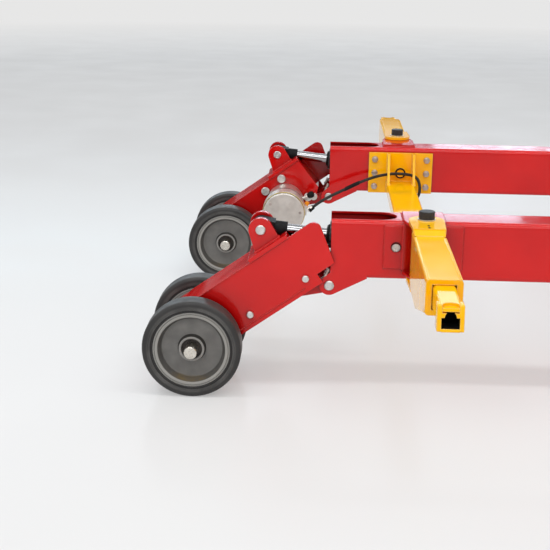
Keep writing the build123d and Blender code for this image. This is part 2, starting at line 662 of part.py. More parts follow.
# Drive motor on the inboard cheek: gear case, ring, end face, terminal box and brake lever
with BuildPart() as motor:
    motor_ring = -HALF_ARM - MOTOR_CASE_L
    motor_face = motor_ring - MOTOR_RING_L
    disc(arm_plane(ARM_WALL - HALF_ARM), motor_centre, MOTOR_PILOT_R, -ARM_WALL)
    disc(arm_plane(-HALF_ARM), motor_centre, MOTOR_CASE_R, -MOTOR_CASE_L)
    disc(arm_plane(motor_ring), motor_centre, MOTOR_RING_R, -MOTOR_RING_L)
    disc(arm_plane(motor_face), motor_centre, MOTOR_FACE_R, -MOTOR_FACE_L)
    fillet(motor.edges().filter_by(GeomType.CIRCLE).group_by(Axis.Y)[-1], MOTOR_ROUND)
    terminal_low = (MOTOR_X + TERMINAL_SHIFT - TERMINAL_L, MOTOR_Z - TERMINAL_H / 2)
    terminal_high = (MOTOR_X + TERMINAL_SHIFT, MOTOR_Z + TERMINAL_H / 2)
    slab(side(TERMINAL_OUT - TERMINAL_W / 2), terminal_low, terminal_high, TERMINAL_W)
    cable_start = Vector(AXLE_X + CABLE_POINTS[0][0], CABLE_POINTS[0][1] - YC, CABLE_POINTS[0][2])
    cable_next = Vector(AXLE_X + CABLE_POINTS[1][0], CABLE_POINTS[1][1] - YC, CABLE_POINTS[1][2])
    cable_heading = (cable_next - cable_start).normalized()
    with BuildSketch(Plane(cable_start - cable_heading * CABLE_GAP, z_dir=cable_heading)):
        Circle(CABLE_GLAND_R)
    extrude(amount=-2 * CABLE_GLAND_L)
    brake_dir = Vector(cos(radians(BRAKE_ANGLE)), 0, sin(radians(BRAKE_ANGLE)))
    brake_root = Vector(MOTOR_X, -BRAKE_OUT - YC, MOTOR_Z)
    with BuildSketch(Plane(brake_root, z_dir=brake_dir)):
        Circle(BRAKE_STEM_R)
    extrude(amount=BRAKE_REACH)
    with Locations(brake_root + brake_dir * BRAKE_REACH):
        Sphere(BRAKE_KNOB_R)
    disc(
        arm_plane(ARM_WALL - HALF_ARM), motor_centre, SHAFT_R + RUN_FIT,
        -ARM_WALL - SHAFT_DEPTH - RUN_FIT, Mode.SUBTRACT,
    )

# Lift cylinder: barrel with its base eye, rod with piston, rod end with its clevis eye
with BuildPart() as barrel:
    barrel_end = BARREL_START + BARREL_LENGTH
    gland_bore = ROD_D / 2 + RUN_FIT
    with BuildSketch(cyl_plane(0)):
        with BuildLine():
            Polyline(
                (BARREL_START, 0), (BARREL_START, BARREL_R), (barrel_end, BARREL_R), (barrel_end, gland_bore),
                (barrel_end - GLAND_L, gland_bore), (barrel_end - GLAND_L, BARREL_BORE_R),
                (BARREL_START + BARREL_FLOOR, BARREL_BORE_R), (BARREL_START + BARREL_FLOOR, 0), close=True,
            )
        make_face()
    revolve(axis=Axis((BASE_PIN_X, -YC, BASE_PIN_Z), CYL_DIR))
    eye_plate(
        cyl_plane(-BARREL_EYE_W / 2), (0, 0), BARREL_EYE_R, (BARREL_EYE_R - BARREL_FLOOR, -BARREL_EYE_R),
        (BARREL_START + BARREL_FLOOR / 2, BARREL_EYE_R), BARREL_EYE_W,
    )
    disc(cyl_plane(BARREL_EYE_W), (0, 0), BASE_PIN_D / 2 + RUN_FIT, -2 * BARREL_EYE_W, Mode.SUBTRACT)

rod_end_far = CYLINDER_L - ROD_EYE_R
rod_end_near = rod_end_far - ROD_END_L
with BuildPart() as rod:
    piston_r = BARREL_BORE_R - SLIDE_FIT
    with BuildSketch(cyl_plane(0)):
        with BuildLine():
            Polyline(
                (PISTON_START, 0), (PISTON_START, piston_r), (PISTON_START + PISTON_L, piston_r),
                (PISTON_START + PISTON_L, ROD_D / 2), (rod_end_near + ROD_END_SOCKET, ROD_D / 2),
                (rod_end_near + ROD_END_SOCKET, 0), close=True,
            )
        make_face()
    revolve(axis=Axis((BASE_PIN_X, -YC, BASE_PIN_Z), CYL_DIR))

with BuildPart() as rod_end:
    socket_r = ROD_D / 2 + RUN_FIT
    with BuildSketch(cyl_plane(0)):
        with BuildLine():
            Polyline(
                (rod_end_near, socket_r), (rod_end_near, ROD_END_R),
                (rod_end_far, ROD_END_R), (rod_end_far, 0),
                (rod_end_near + ROD_END_SOCKET, 0), (rod_end_near + ROD_END_SOCKET, socket_r), close=True,
            )
        make_face()
    revolve(axis=Axis((BASE_PIN_X, -YC, BASE_PIN_Z), CYL_DIR))
    eye_plate(
        cyl_plane(-ROD_EYE_W / 2), (CYLINDER_L, 0), ROD_EYE_R, (rod_end_far - ROD_EYE_NECK, -ROD_END_R),
        (rod_end_far, ROD_END_R), ROD_EYE_W,
    )
    disc(cyl_plane(ROD_EYE_W), (CYLINDER_L, 0), PIN_R + OPEN_PIVOT_FIT, -2 * ROD_EYE_W, Mode.SUBTRACT)


def out_plane(reach_out):
    """Upright plane square to the right side arm, at a distance from its pivot pin."""
    return Plane.XZ.offset(SIDE_PIN_Y + reach_out)


# Side-arm sleeve: square tube with a tapered keel, pivot lugs above and below the bracket's ears
with BuildPart() as sleeve:
    half_sleeve = SLEEVE_W / 2
    with BuildSketch(out_plane(SLEEVE_ROOT)):
        with Locations((SIDE_PIN_X, BAR_MID_Z)):
            RectangleRounded(SLEEVE_W, SLEEVE_W, SLEEVE_CORNER)
    extrude(amount=SLEEVE_END - SLEEVE_ROOT)
    keel_plane = Plane((SIDE_PIN_X - half_sleeve, -SIDE_PIN_Y, 0), x_dir=(0, -1, 0), z_dir=(-1, 0, 0))
    keel_roof = SLEEVE_BOTTOM + SLEEVE_CORNER + KEEL_LAP
    with BuildSketch(keel_plane):
        with BuildLine():
            Polyline(
                (SLEEVE_ROOT, keel_roof), (SLEEVE_ROOT, KEEL_BOTTOM), (KEEL_STRAIGHT_END, KEEL_BOTTOM),
                (KEEL_END, SLEEVE_BOTTOM), (KEEL_END, keel_roof), close=True,
            )
        make_face()
    extrude(amount=-SLEEVE_W)
    with BuildSketch(keel_plane.offset(-KEEL_WALL)):
        with BuildLine():
            Polyline(
                (SLEEVE_ROOT + SLEEVE_ROOT_T, SLEEVE_BOTTOM),
                (SLEEVE_ROOT + SLEEVE_ROOT_T, KEEL_BOTTOM + KEEL_WALL),
                (KEEL_STRAIGHT_END, KEEL_BOTTOM + KEEL_WALL),
                (KEEL_END - KEEL_TOE, SLEEVE_BOTTOM), close=True,
            )
        make_face()
    extrude(amount=2 * KEEL_WALL - SLEEVE_W, mode=Mode.SUBTRACT)
    lug_low = (SIDE_PIN_X - half_sleeve, -SIDE_PIN_Y - SLEEVE_LUG_END)
    lug_high = (SIDE_PIN_X + half_sleeve, -SIDE_PIN_Y - SLEEVE_ROOT)
    for lug_z in (UPPER_LUG_Z, LOWER_LUG_Z):
        eye_plate(
            Plane.XY.offset(lug_z), (SIDE_PIN_X, -SIDE_PIN_Y), SLEEVE_LUG_R, lug_low, lug_high, SLEEVE_LUG_T,
        )
    slab(Plane.XY.offset(SLEEVE_TOP), lug_low, lug_high, UPPER_LUG_Z - SLEEVE_TOP)
    slab(
        Plane.XY.offset(SLEEVE_TOP), (SIDE_PIN_X - half_sleeve, -SIDE_PIN_Y - SLEEVE_ROOT - SLEEVE_ROOT_T),
        lug_high, LOWER_LUG_Z - SLEEVE_TOP,
    )
    disc(Plane.XY, (SIDE_PIN_X, -SIDE_PIN_Y), PIN_HOLE_R, 2 * BEAM_TOP, Mode.SUBTRACT)
    half_bore = BAR_W / 2 + BAR_SIDE_FIT
    slab(
        out_plane(SLEEVE_ROOT + SLEEVE_ROOT_T), (SIDE_PIN_X - half_bore, BAR_MID_Z - BAR_H / 2 - SLIDE_FIT),
        (SIDE_PIN_X + half_bore, BAR_MID_Z + BAR_H / 2 + BAR_ROOF_FIT), SLEEVE_END, Mode.SUBTRACT,
    )

# Sliding bar: rectangular tube whose end block carries a half-round saddle above the socket
with BuildPart() as bar:
    bar_tip = BAR_END + BAR_LIP
    with BuildSketch(out_plane(BAR_ROOT)):
        with Locations((SIDE_PIN_X, BAR_MID_Z)):
            RectangleRounded(BAR_W, BAR_H, BAR_CORNER)
            Rectangle(BAR_W - 2 * BAR_WALL, BAR_H - 2 * BAR_WALL, mode=Mode.SUBTRACT)
    extrude(amount=bar_tip - BAR_ROOT)
    bar_top = BAR_MID_Z + BAR_H / 2
    half_block = BAR_W / 2 - BAR_WALL
    slab(
        out_plane(bar_tip), (SIDE_PIN_X - half_block, bar_top - BAR_BLOCK_DROP),
        (SIDE_PIN_X + half_block, bar_top - BAR_WALL), -BAR_BLOCK_L,
    )
    disc(
        Plane.XY.offset(bar_top), (SIDE_PIN_X, -SIDE_PIN_Y - BAR_END), SADDLE_R, -SADDLE_DEPTH, Mode.SUBTRACT,
    )
    disc(
        out_plane(bar_tip), (SIDE_PIN_X, bar_top - BAR_BLOCK_DROP), SOCKET_BUMP_R, -BAR_BLOCK_L,
        Mode.SUBTRACT,
    )
    # The end face leans back, so the lower lip reaches furthest out
    with BuildSketch(keel_plane):
        with BuildLine():
            Polyline((BAR_END, bar_top), (bar_tip, bar_top), (bar_tip, bar_top - BAR_H), close=True)
        make_face()
    extrude(amount=-SLEEVE_W, mode=Mode.SUBTRACT)

with BuildPart() as side_pin:
    pin_top = UPPER_LUG_Z + SLEEVE_LUG_T + SLIDE_FIT
    collar_z = LOWER_LUG_Z - SLIDE_FIT - COLLAR_T
    pin_foot = collar_z - COLLAR_T
    disc(Plane.XY.offset(pin_foot), (SIDE_PIN_X, -SIDE_PIN_Y), PIN_R, pin_top - pin_foot)
    disc(Plane.XY.offset(pin_top), (SIDE_PIN_X, -SIDE_PIN_Y), WASHER_R, WASHER_T)
    disc(Plane.XY.offset(collar_z), (SIDE_PIN_X, -SIDE_PIN_Y), COLLAR_R, COLLAR_T)

with BuildPart() as side_cap:
    with BuildSketch(Plane.XY.offset(pin_top + WASHER_T)):
        with Locations((SIDE_PIN_X, -SIDE_PIN_Y)):
            RegularPolygon(CAP_R, CAP_SIDES)
    extrude(amount=CAP_H)
    fillet(side_cap.edges().group_by(Axis.Z)[-1], CAP_ROUND)

# Motor cable: held by its glands and the gussets of the cross tube
cable_points = [Vector(AXLE_X + reach, inboard - YC, height) for reach, inboard, height in CABLE_POINTS]
cable_radii = []
for before, corner, after in zip(cable_points, cable_points[1:], cable_points[2:]):
    turn = (corner - before).get_angle(after - corner)
    shorter = min((corner - before).length, (after - corner).length)
    cable_radii.append(CABLE_BEND_SHARE * shorter / tan(radians(turn / 2)))
with BuildPart() as motor_cable:
    with BuildLine() as cable_path:
        FilletPolyline(*cable_points, radius=cable_radii)
    with BuildSketch(Plane(cable_path.line @ 0, z_dir=cable_path.line % 0)) as cable_section:
        Circle(CABLE_R)
    sweep(path=cable_path.line)
print("cable radii", [round(radius) for radius in cable_radii])
cable_length = sum(edge.length for edge in cable_path.edges())
print("cable length", round(cable_length, 1))
swept_volume = cable_section.sketch.area * cable_length
print("volume over section times length", motor_cable.part.volume / swept_volume)

# Swivel caster: crown, kingpin, two legs with the axle between their feet
with BuildPart() as caster_fork:
    crown_top = BEAM_BOTTOM - CASTER_BOSS_H - SLIDE_FIT
    crown = Plane.XY.offset(crown_top)
    leg_x = CASTER_X - CASTER_TRAIL
    disc(crown, (CASTER_X, -YC), KINGPIN_R, CASTER_BOSS_H - CASTER_PLATE_T)
    eye_plate(
        crown, (CASTER_X, -YC), CASTER_BOSS_R, (leg_x - FORK_W / 2, -YC - FORK_GAP / 2 - FORK_T),
        (CASTER_X, -YC + FORK_GAP / 2 + FORK_T), -FORK_T,
    )
    for out in (FORK_GAP / 2 + FORK_T, -FORK_GAP / 2):
        eye_plate(
            side(out), (leg_x, CASTER_D / 2), FORK_FOOT_R, (leg_x - FORK_W / 2, crown_top - FORK_T),
            (leg_x + FORK_W / 2, crown_top), -FORK_T,
        )
    disc(side(FORK_GAP / 2 + FORK_T), (leg_x, CASTER_D / 2), CASTER_AXLE_R, -FORK_GAP - 2 * FORK_T)

with BuildPart() as caster_wheel:
    tread_half = CASTER_W / 2
    dish_half = tread_half - CASTER_DISH
    dish_r = CASTER_D / 2 - CASTER_HUB_R
    with BuildSketch(Plane((leg_x, -YC, CASTER_D / 2))) as caster_section:
        with BuildLine():
            Polyline(
                (CASTER_AXLE_R + RUN_FIT, -CASTER_HUB_W / 2), (CASTER_HUB_R, -CASTER_HUB_W / 2),
                (CASTER_HUB_R, -dish_half), (dish_r, -dish_half), (dish_r, -tread_half),
                (CASTER_D / 2, -tread_half), (CASTER_D / 2, tread_half), (dish_r, tread_half),
                (dish_r, dish_half), (CASTER_HUB_R, dish_half), (CASTER_HUB_R, CASTER_HUB_W / 2),
                (CASTER_AXLE_R + RUN_FIT, CASTER_HUB_W / 2), close=True,
            )
        make_face()
        fillet(caster_section.vertices().group_by(Axis.X)[-1], TYRE_SHOULDER)
    revolve(axis=Axis((leg_x, 0, CASTER_D / 2), (0, 1, 0)))

# Cross tube with end plates, gussets and the cable entry boxes under its ends
with BuildPart() as cross_tube:
    tube_half = PLATE_Y - PLATE_T
    with BuildSketch(Plane.XZ.offset(-tube_half)):
        with Locations((CROSS_X, CROSS_Z)):
            RectangleRounded(CROSS_W, CROSS_H, CROSS_CORNER)
            RectangleRounded(
                CROSS_W - 2 * CROSS_WALL, CROSS_H - 2 * CROSS_WALL, CROSS_CORNER - CROSS_WALL,
                mode=Mode.SUBTRACT,
            )
    extrude(amount=2 * tube_half)
    gusset_z = CROSS_Z + CROSS_H / 2
    plate_mid_z = BEAM_BOTTOM + PLATE_H / 2
    for hand in (1, -1):
        end_plane = Plane.XZ.offset(-hand * tube_half)
        slab(
            end_plane, (CROSS_X - PLATE_L / 2, BEAM_BOTTOM),
            (CROSS_X + PLATE_L / 2, BEAM_BOTTOM + PLATE_H), -hand * PLATE_T,
        )
        disc(end_plane, (CROSS_X, plate_mid_z), GROMMET_R, hand * GROMMET_PROUD)
        disc(
            Plane.XZ.offset(-hand * PLATE_Y), (CROSS_X, plate_mid_z), GROMMET_HOLE_R,
            hand * (PLATE_T + GROMMET_PROUD), Mode.SUBTRACT,
        )
        rear_gusset_x = CROSS_X - CROSS_W / 2
        front_gusset_x = CROSS_X + CROSS_W / 2 - GUSSET_T
        for gusset_x, pass_point in ((rear_gusset_x, REAR_PASS), (front_gusset_x, FRONT_PASS)):
            with BuildSketch(Plane.YZ.offset(gusset_x)):
                with BuildLine():
                    Polyline(
                        (hand * tube_half, gusset_z - CROSS_CORNER),
                        (hand * tube_half, BEAM_BOTTOM + PLATE_H),
                        (hand * (tube_half - GUSSET_TOP), BEAM_BOTTOM + PLATE_H),
                        (hand * (tube_half - GUSSET_FOOT), gusset_z),
                        (hand * (tube_half - GUSSET_FOOT), gusset_z - CROSS_CORNER), close=True,
                    )
                make_face()
                with Locations((hand * (YC - pass_point[1]), pass_point[2])):
                    Circle(GUSSET_HOLE_R, mode=Mode.SUBTRACT)
            extrude(amount=GUSSET_T)
        with BuildSketch(Plane.XZ.offset(-hand * tube_half)):
            with Locations((CROSS_X, plate_mid_z)):
                with GridLocations(PLATE_BOLT_X, PLATE_BOLT_Z, 2, 3):
                    Circle(PLATE_BOLT_R + RUN_FIT)
        extrude(amount=-hand * PLATE_T, mode=Mode.SUBTRACT)
        entry_y = hand * (YC - CABLE_POINTS[-1][1])
        entry_x = AXLE_X + CABLE_POINTS[-1][0] - CABLE_GAP - ENTRY_GLAND_L
        entry_roof = CROSS_Z - CROSS_H / 2 + CROSS_WALL / 2
        slab(
            Plane.XY.offset(entry_roof), (entry_x - ENTRY_L, entry_y - ENTRY_W / 2),
            (entry_x, entry_y + ENTRY_W / 2), -ENTRY_H - CROSS_WALL / 2,
        )
        disc(Plane.YZ.offset(entry_x), (entry_y, CABLE_POINTS[-1][2]), ENTRY_GLAND_R, ENTRY_GLAND_L)

with BuildPart() as cross_tube_bolts:
    for hand in (1, -1):
        with BuildSketch(Plane.XZ.offset(-hand * tube_half)):
            with Locations((CROSS_X, plate_mid_z)):
                with GridLocations(PLATE_BOLT_X, PLATE_BOLT_Z, 2, 3):
                    RegularPolygon(HEX_R, 6)
        extrude(amount=hand * HEX_H)
        with BuildSketch(Plane.XZ.offset(-hand * tube_half)):
            with Locations((CROSS_X, plate_mid_z)):
                with GridLocations(PLATE_BOLT_X, PLATE_BOLT_Z, 2, 3):
                    Circle(PLATE_BOLT_R)
        extrude(amount=-hand * PLATE_T)

# Front cross beam with the power case rails and the tow lugs
with BuildPart() as front_beam:
    front_half = YC - HALF_BEAM
    with BuildSketch(Plane.XZ.offset(-front_half)):
        with Locations((BEAM_FRONT_X - HALF_BEAM, BEAM_MID_Z)):
            RectangleRounded(BEAM_W, BEAM_H, BEAM_CORNER)
            RectangleRounded(
                BEAM_W - 2 * BEAM_WALL, BEAM_H - 2 * BEAM_WALL, BEAM_CORNER - BEAM_WALL, mode=Mode.SUBTRACT
            )
    extrude(amount=2 * front_half)
    with BuildSketch(Plane.YZ.offset(BEAM_FRONT_X - CASE_L)):
        with Locations((0, BEAM_TOP - RAIL_W / 2)):
            with GridLocations(RAIL_SPACING, 0, 2, 1):
                Rectangle(RAIL_W, RAIL_W)
                Rectangle(RAIL_W - 2 * CROSS_WALL, RAIL_W - 2 * CROSS_WALL, mode=Mode.SUBTRACT)
    extrude(amount=CASE_L - BEAM_W + BEAM_WALL / 2)
    for face in (TOW_LUG_GAP / 2 + TOW_LUG_T, -TOW_LUG_GAP / 2):
        eye_plate(
            Plane.XZ.offset(face), (TOW_X, TOW_PIVOT_Z), TOW_LUG_R,
            (BEAM_FRONT_X - BEAM_WALL / 2, BEAM_BOTTOM + 2 * BEAM_CORNER),
            (BEAM_FRONT_X + BEAM_WALL, BEAM_TOP - 2 * BEAM_CORNER), -TOW_LUG_T,
        )
    disc(Plane.XZ.offset(-TOW_LUG_GAP), (TOW_X, TOW_PIVOT_Z), PIN_HOLE_R, 2 * TOW_LUG_GAP, Mode.SUBTRACT)

# Power case: open-topped sheet-metal box with the lift lever's ears on its front
with BuildPart() as power_case:
    with BuildSketch(Plane.XY.offset(BEAM_TOP)):
        with Locations((CASE_X, 0)):
            RectangleRounded(CASE_L, CASE_W, CASE_CORNER)
    extrude(amount=CASE_H)
    with BuildSketch(Plane.XY.offset(BEAM_TOP + CASE_WALL)):
        with Locations((CASE_X, 0)):
            RectangleRounded(CASE_L - 2 * CASE_WALL, CASE_W - 2 * CASE_WALL, CASE_CORNER - CASE_WALL)
    extrude(amount=CASE_H, mode=Mode.SUBTRACT)
    lever_x = BEAM_FRONT_X + LEVER_STANDOFF
    lever_z = BEAM_TOP + LEVER_LIFT
    lever_side = LEVER_HUB_W / 2 + SIDE_FIT
    for face in (lever_side + LEVER_EAR_T, -lever_side):
        eye_plate(
            Plane.XZ.offset(face - LEVER_Y), (lever_x, lever_z), LEVER_HUB_R,
            (BEAM_FRONT_X - CASE_WALL / 2, lever_z - LEVER_EAR_ROOT),
            (BEAM_FRONT_X, lever_z + LEVER_EAR_ROOT), -LEVER_EAR_T,
        )
    disc(
        Plane.XZ.offset(lever_side + LEVER_EAR_T - LEVER_Y), (lever_x, lever_z), LEVER_R + RUN_FIT,
        -2 * lever_side - 2 * LEVER_EAR_T, Mode.SUBTRACT,
    )

with BuildPart() as case_lid:
    lid_spread = 2 * (CASE_WALL + LID_FIT)
    with BuildSketch(Plane.XY.offset(CASE_TOP + CASE_WALL)):
        with Locations((CASE_X, 0)):
            RectangleRounded(CASE_L + lid_spread, CASE_W + lid_spread, CASE_CORNER + CASE_WALL + LID_FIT)
    extrude(amount=-LID_H)
    fillet(case_lid.edges().group_by(Axis.Z)[-1], LID_ROUND)
    with BuildSketch(Plane.XY.offset(CASE_TOP)):
        with Locations((CASE_X, 0)):
            RectangleRounded(CASE_L + 2 * LID_FIT, CASE_W + 2 * LID_FIT, CASE_CORNER + LID_FIT)
    extrude(amount=-LID_H, mode=Mode.SUBTRACT)

# Kit inside the case: batteries beside the tank, each a gap clear of the walls
kit_floor = BEAM_TOP + CASE_WALL
tank_y = CASE_W / 2 - CASE_WALL - KIT_GAP - TANK_W / 2
with BuildPart() as battery_pair:
    battery_l = (CASE_L - 2 * CASE_WALL - 2 * KIT_GAP - BATTERY_GAP) / 2
    battery_w = CASE_W - 2 * CASE_WALL - 3 * KIT_GAP - TANK_W
    battery_h = CASE_H - CASE_WALL - KIT_GAP - BATTERY_POST_H
    battery_y = KIT_GAP + CASE_WALL + battery_w / 2 - CASE_W / 2
    for shift in (-1, 1):
        battery_x = CASE_X + shift * (battery_l + BATTERY_GAP) / 2
        with BuildSketch(Plane.XY.offset(kit_floor)):
            with Locations((battery_x, battery_y)):
                RectangleRounded(battery_l, battery_w, LID_ROUND)
        extrude(amount=battery_h)
        with BuildSketch(Plane.XY.offset(kit_floor + battery_h)):
            with Locations((battery_x, battery_y)):
                with GridLocations(0, battery_w / 2, 1, 2):
                    Circle(BATTERY_POST_R)
        extrude(amount=BATTERY_POST_H)

with BuildPart() as pump_unit:
    tank_h = CASE_H - CASE_WALL - 2 * PUMP_R - PUMP_HEADROOM
    with BuildSketch(Plane.XY.offset(kit_floor)):
        with Locations((CASE_X, tank_y)):
            RectangleRounded(TANK_L, TANK_W, LID_ROUND)
    extrude(amount=tank_h)
    with BuildSketch(Plane.YZ.offset(CASE_X - PUMP_L / 2)):
        with Locations((tank_y, kit_floor + tank_h + PUMP_R - CASE_WALL)):
            Circle(PUMP_R)
    extrude(amount=PUMP_L)

with BuildPart() as lift_lever:
    disc(Plane.XZ.offset(LEVER_HUB_W / 2 - LEVER_Y), (lever_x, lever_z), LEVER_HUB_R, -LEVER_HUB_W)
    disc(
        Plane.XZ.offset(lever_side + LEVER_EAR_T - LEVER_Y), (lever_x, lever_z), LEVER_R,
        -2 * lever_side - 2 * LEVER_EAR_T,
    )
    disc(Plane.XY.offset(lever_z), (lever_x, LEVER_Y), LEVER_R, LEVER_L)
    with Locations((lever_x, LEVER_Y, lever_z + LEVER_L)):
        Sphere(LEVER_KNOB_R)

# Tow bar with its lunette eye, level at rest
with BuildPart() as tow_bar:
    eye_x = TOW_X + TOW_BAR_L
    knuckle_w = TOW_LUG_GAP - 2 * SIDE_FIT
    disc(Plane.XZ.offset(knuckle_w / 2), (TOW_X, TOW_PIVOT_Z), TOW_KNUCKLE_R, -knuckle_w)
    with BuildSketch(Plane.YZ.offset(TOW_X)):
        with Locations((0, TOW_PIVOT_Z)):
            Rectangle(TOW_BAR_W, TOW_BAR_W)
            Rectangle(TOW_BAR_W - 2 * TOW_BAR_WALL, TOW_BAR_W - 2 * TOW_BAR_WALL, mode=Mode.SUBTRACT)
    extrude(amount=TOW_BAR_L - TOW_EYE_ID / 2 - TOW_BAR_WALL)
    disc(Plane.XY.offset(TOW_PIVOT_Z - TOW_EYE_T / 2), (eye_x, 0), TOW_EYE_OD / 2, TOW_EYE_T)
    fillet(tow_bar.edges().filter_by(GeomType.CIRCLE).sort_by(Axis.X)[-2:], TOW_EYE_ROUND)
    disc(Plane.XY.offset(TOW_PIVOT_Z - TOW_BAR_W), (eye_x, 0), TOW_EYE_ID / 2, 2 * TOW_BAR_W, Mode.SUBTRACT)
    disc(Plane.XZ.offset(-TOW_LUG_GAP), (TOW_X, TOW_PIVOT_Z), PIN_HOLE_R, 2 * TOW_LUG_GAP, Mode.SUBTRACT)

with BuildPart() as tow_pin:
    tow_pin_half = TOW_LUG_GAP / 2 + TOW_LUG_T
    disc(Plane.XZ.offset(tow_pin_half), (TOW_X, TOW_PIVOT_Z), PIN_R, -2 * tow_pin_half)
    disc(Plane.XZ.offset(tow_pin_half), (TOW_X, TOW_PIVOT_Z), TOW_PIN_HEAD_R, TOW_PIN_HEAD_H)
    disc(Plane.XZ.offset(-tow_pin_half), (TOW_X, TOW_PIVOT_Z), TOW_PIN_HEAD_R, -TOW_PIN_HEAD_H)

# The cart's right side as built, and its left side as the mirror image
side_pieces = {
    "beam": beam, "wheel_arm": wheel_arm, "hinge_pin": hinge_pin, "clevis_pin": clevis_pin,
    "base_pin": base_pin, "arm_bolts": arm_bolts, "axle": axle, "outer_rim": outer_rim,
    "inner_rim": inner_rim, "outer_tyre": outer_tyre, "inner_tyre": inner_tyre,
    "axle_sprocket": axle_sprocket, "motor_sprocket": motor_sprocket, "drive_chain": drive_chain,
    "motor": motor, "barrel": barrel, "rod": rod, "rod_end": rod_end, "sleeve": sleeve, "bar": bar,
    "side_pin": side_pin, "side_cap": side_cap, "motor_cable": motor_cable,
    "caster_fork": caster_fork, "caster_wheel": caster_wheel,
}
for name, piece in side_pieces.items():
    piece.part.label = f"right_{name}"
    export_step(piece.part, f"parts/right_{name}.step")
    with BuildPart() as left_piece:
        mirror(piece.part, about=Plane.XZ)
    left_piece.part.label = f"left_{name}"
    export_step(left_piece.part, f"parts/left_{name}.step")

centre_pieces = {
    "cross_tube": cross_tube, "cross_tube_bolts": cross_tube_bolts, "front_beam": front_beam,
    "power_case": power_case, "case_lid": case_lid, "battery_pair": battery_pair, "pump_unit": pump_unit,
    "lift_lever": lift_lever, "tow_bar": tow_bar, "tow_pin": tow_pin,
}
for name, piece in centre_pieces.items():
    piece.part.label = name
    export_step(piece.part, f"parts/{name}.step")
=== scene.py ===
# %% [markdown]
# This lesson dresses a helicopter tow cart: two red box beams, driven wheel arms that raise and lower
# them, yellow side arms and a yellow cross tube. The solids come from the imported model, so every size is
# settled before we begin. Our job is the finish of each surface and the small pieces that make the
# cart look real: welds, screws, cast wheels, cables and plates.

# %% Load the cart
import json
import math
import bmesh
import bpy
from mathutils import Matrix, Vector


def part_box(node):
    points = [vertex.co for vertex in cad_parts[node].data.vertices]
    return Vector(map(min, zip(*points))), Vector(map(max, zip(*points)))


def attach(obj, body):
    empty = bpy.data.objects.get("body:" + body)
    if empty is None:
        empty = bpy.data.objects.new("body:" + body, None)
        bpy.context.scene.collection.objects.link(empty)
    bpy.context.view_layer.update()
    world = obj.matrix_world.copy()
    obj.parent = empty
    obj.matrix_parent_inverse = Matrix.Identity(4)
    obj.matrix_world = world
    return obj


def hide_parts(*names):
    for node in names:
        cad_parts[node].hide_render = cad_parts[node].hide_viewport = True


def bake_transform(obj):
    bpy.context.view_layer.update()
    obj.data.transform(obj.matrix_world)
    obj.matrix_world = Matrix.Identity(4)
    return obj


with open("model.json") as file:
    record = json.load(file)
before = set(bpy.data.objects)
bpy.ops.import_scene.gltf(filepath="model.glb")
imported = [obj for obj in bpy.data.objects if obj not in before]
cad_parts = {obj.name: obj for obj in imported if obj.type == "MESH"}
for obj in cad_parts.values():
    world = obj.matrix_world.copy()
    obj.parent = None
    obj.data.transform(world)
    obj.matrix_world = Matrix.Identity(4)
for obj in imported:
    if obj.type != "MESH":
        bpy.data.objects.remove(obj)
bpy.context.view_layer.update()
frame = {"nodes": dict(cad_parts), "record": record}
nodes = frame["nodes"]
scene = bpy.context.scene

# %% [markdown]
# A camera can be placed by eye, but a photograph holds enough straight edges to work its camera out.
# The beams give one vanishing direction and the cross tube another, so the lens and the place below
# were solved from them. The camera stands at the cart's right, a little above hip height.

# %% Camera
CAMERA_PLACE = (-1.0597, -3.5494, 1.1455)
CAMERA_RIGHT = Vector((0.9990, 0.0413, 0.0173))
CAMERA_UP = Vector((-0.0279, 0.2724, 0.9618))
FOCAL_PIXELS = 1200.0
FRAME_PIXELS = 550.0
SENSOR_MM = 36.0

lens = bpy.data.cameras.new("camera")
lens.sensor_width = SENSOR_MM
lens.lens = SENSOR_MM * FOCAL_PIXELS / FRAME_PIXELS
lens.clip_end = 100.0
camera = bpy.data.objects.new("camera", lens)
back = CAMERA_RIGHT.cross(CAMERA_UP).normalized()
right = CAMERA_UP.cross(back).normalized()
up = back.cross(right)
turn = Matrix((right, up, back)).transposed().to_4x4()
camera.matrix_world = Matrix.Translation(CAMERA_PLACE) @ turn
scene.collection.objects.link(camera)
scene.camera = camera
scene.view_settings.view_transform = "Standard"
print("camera lens", round(lens.lens, 2), "mm")

# %% [markdown]
# A material that is one flat colour looks like plastic film. Real enamel has orange peel, real rubber
# has dust and real steel has tool marks. Each finish below starts from the Principled shader and gets
# noise in three places: colour, roughness and bump. Noise reads Object coordinates, so it stays on
# the piece when the piece moves.

# %% Helpers for noise and colour
NOISE_RANGE = (0.3, 0.7)


def new_finish(name, colour, metallic=0.0, specular=0.5):
    """Material with a Principled shader; returns the material, its tree and the shader."""
    finish = bpy.data.materials.new(name)
    finish.use_nodes = True
    tree = finish.node_tree
    shader = tree.nodes["Principled BSDF"]
    shader.inputs["Base Color"].default_value = (*colour, 1.0)
    shader.inputs["Metallic"].default_value = metallic
    shader.inputs["Specular IOR Level"].default_value = specular
    return finish, tree, shader


def grain(tree, scale, detail=4.0):
    """Noise over the piece."""
    place = tree.nodes.new("ShaderNodeTexCoord")
    noise = tree.nodes.new("ShaderNodeTexNoise")
    noise.inputs["Scale"].default_value = scale
    noise.inputs["Detail"].default_value = detail
    tree.links.new(place.outputs["Object"], noise.inputs["Vector"])
    return noise.outputs["Fac"]


def tint(tree, factor, dark, light, low=0.35, high=0.65):
    """Colour between two shades, chosen by a factor."""
    ramp = tree.nodes.new("ShaderNodeValToRGB")
    ramp.color_ramp.elements[0].position = low
    ramp.color_ramp.elements[0].color = (*dark, 1.0)
    ramp.color_ramp.elements[1].position = high
    ramp.color_ramp.elements[1].color = (*light, 1.0)
    tree.links.new(factor, ramp.inputs["Fac"])
    return ramp.outputs["Color"]


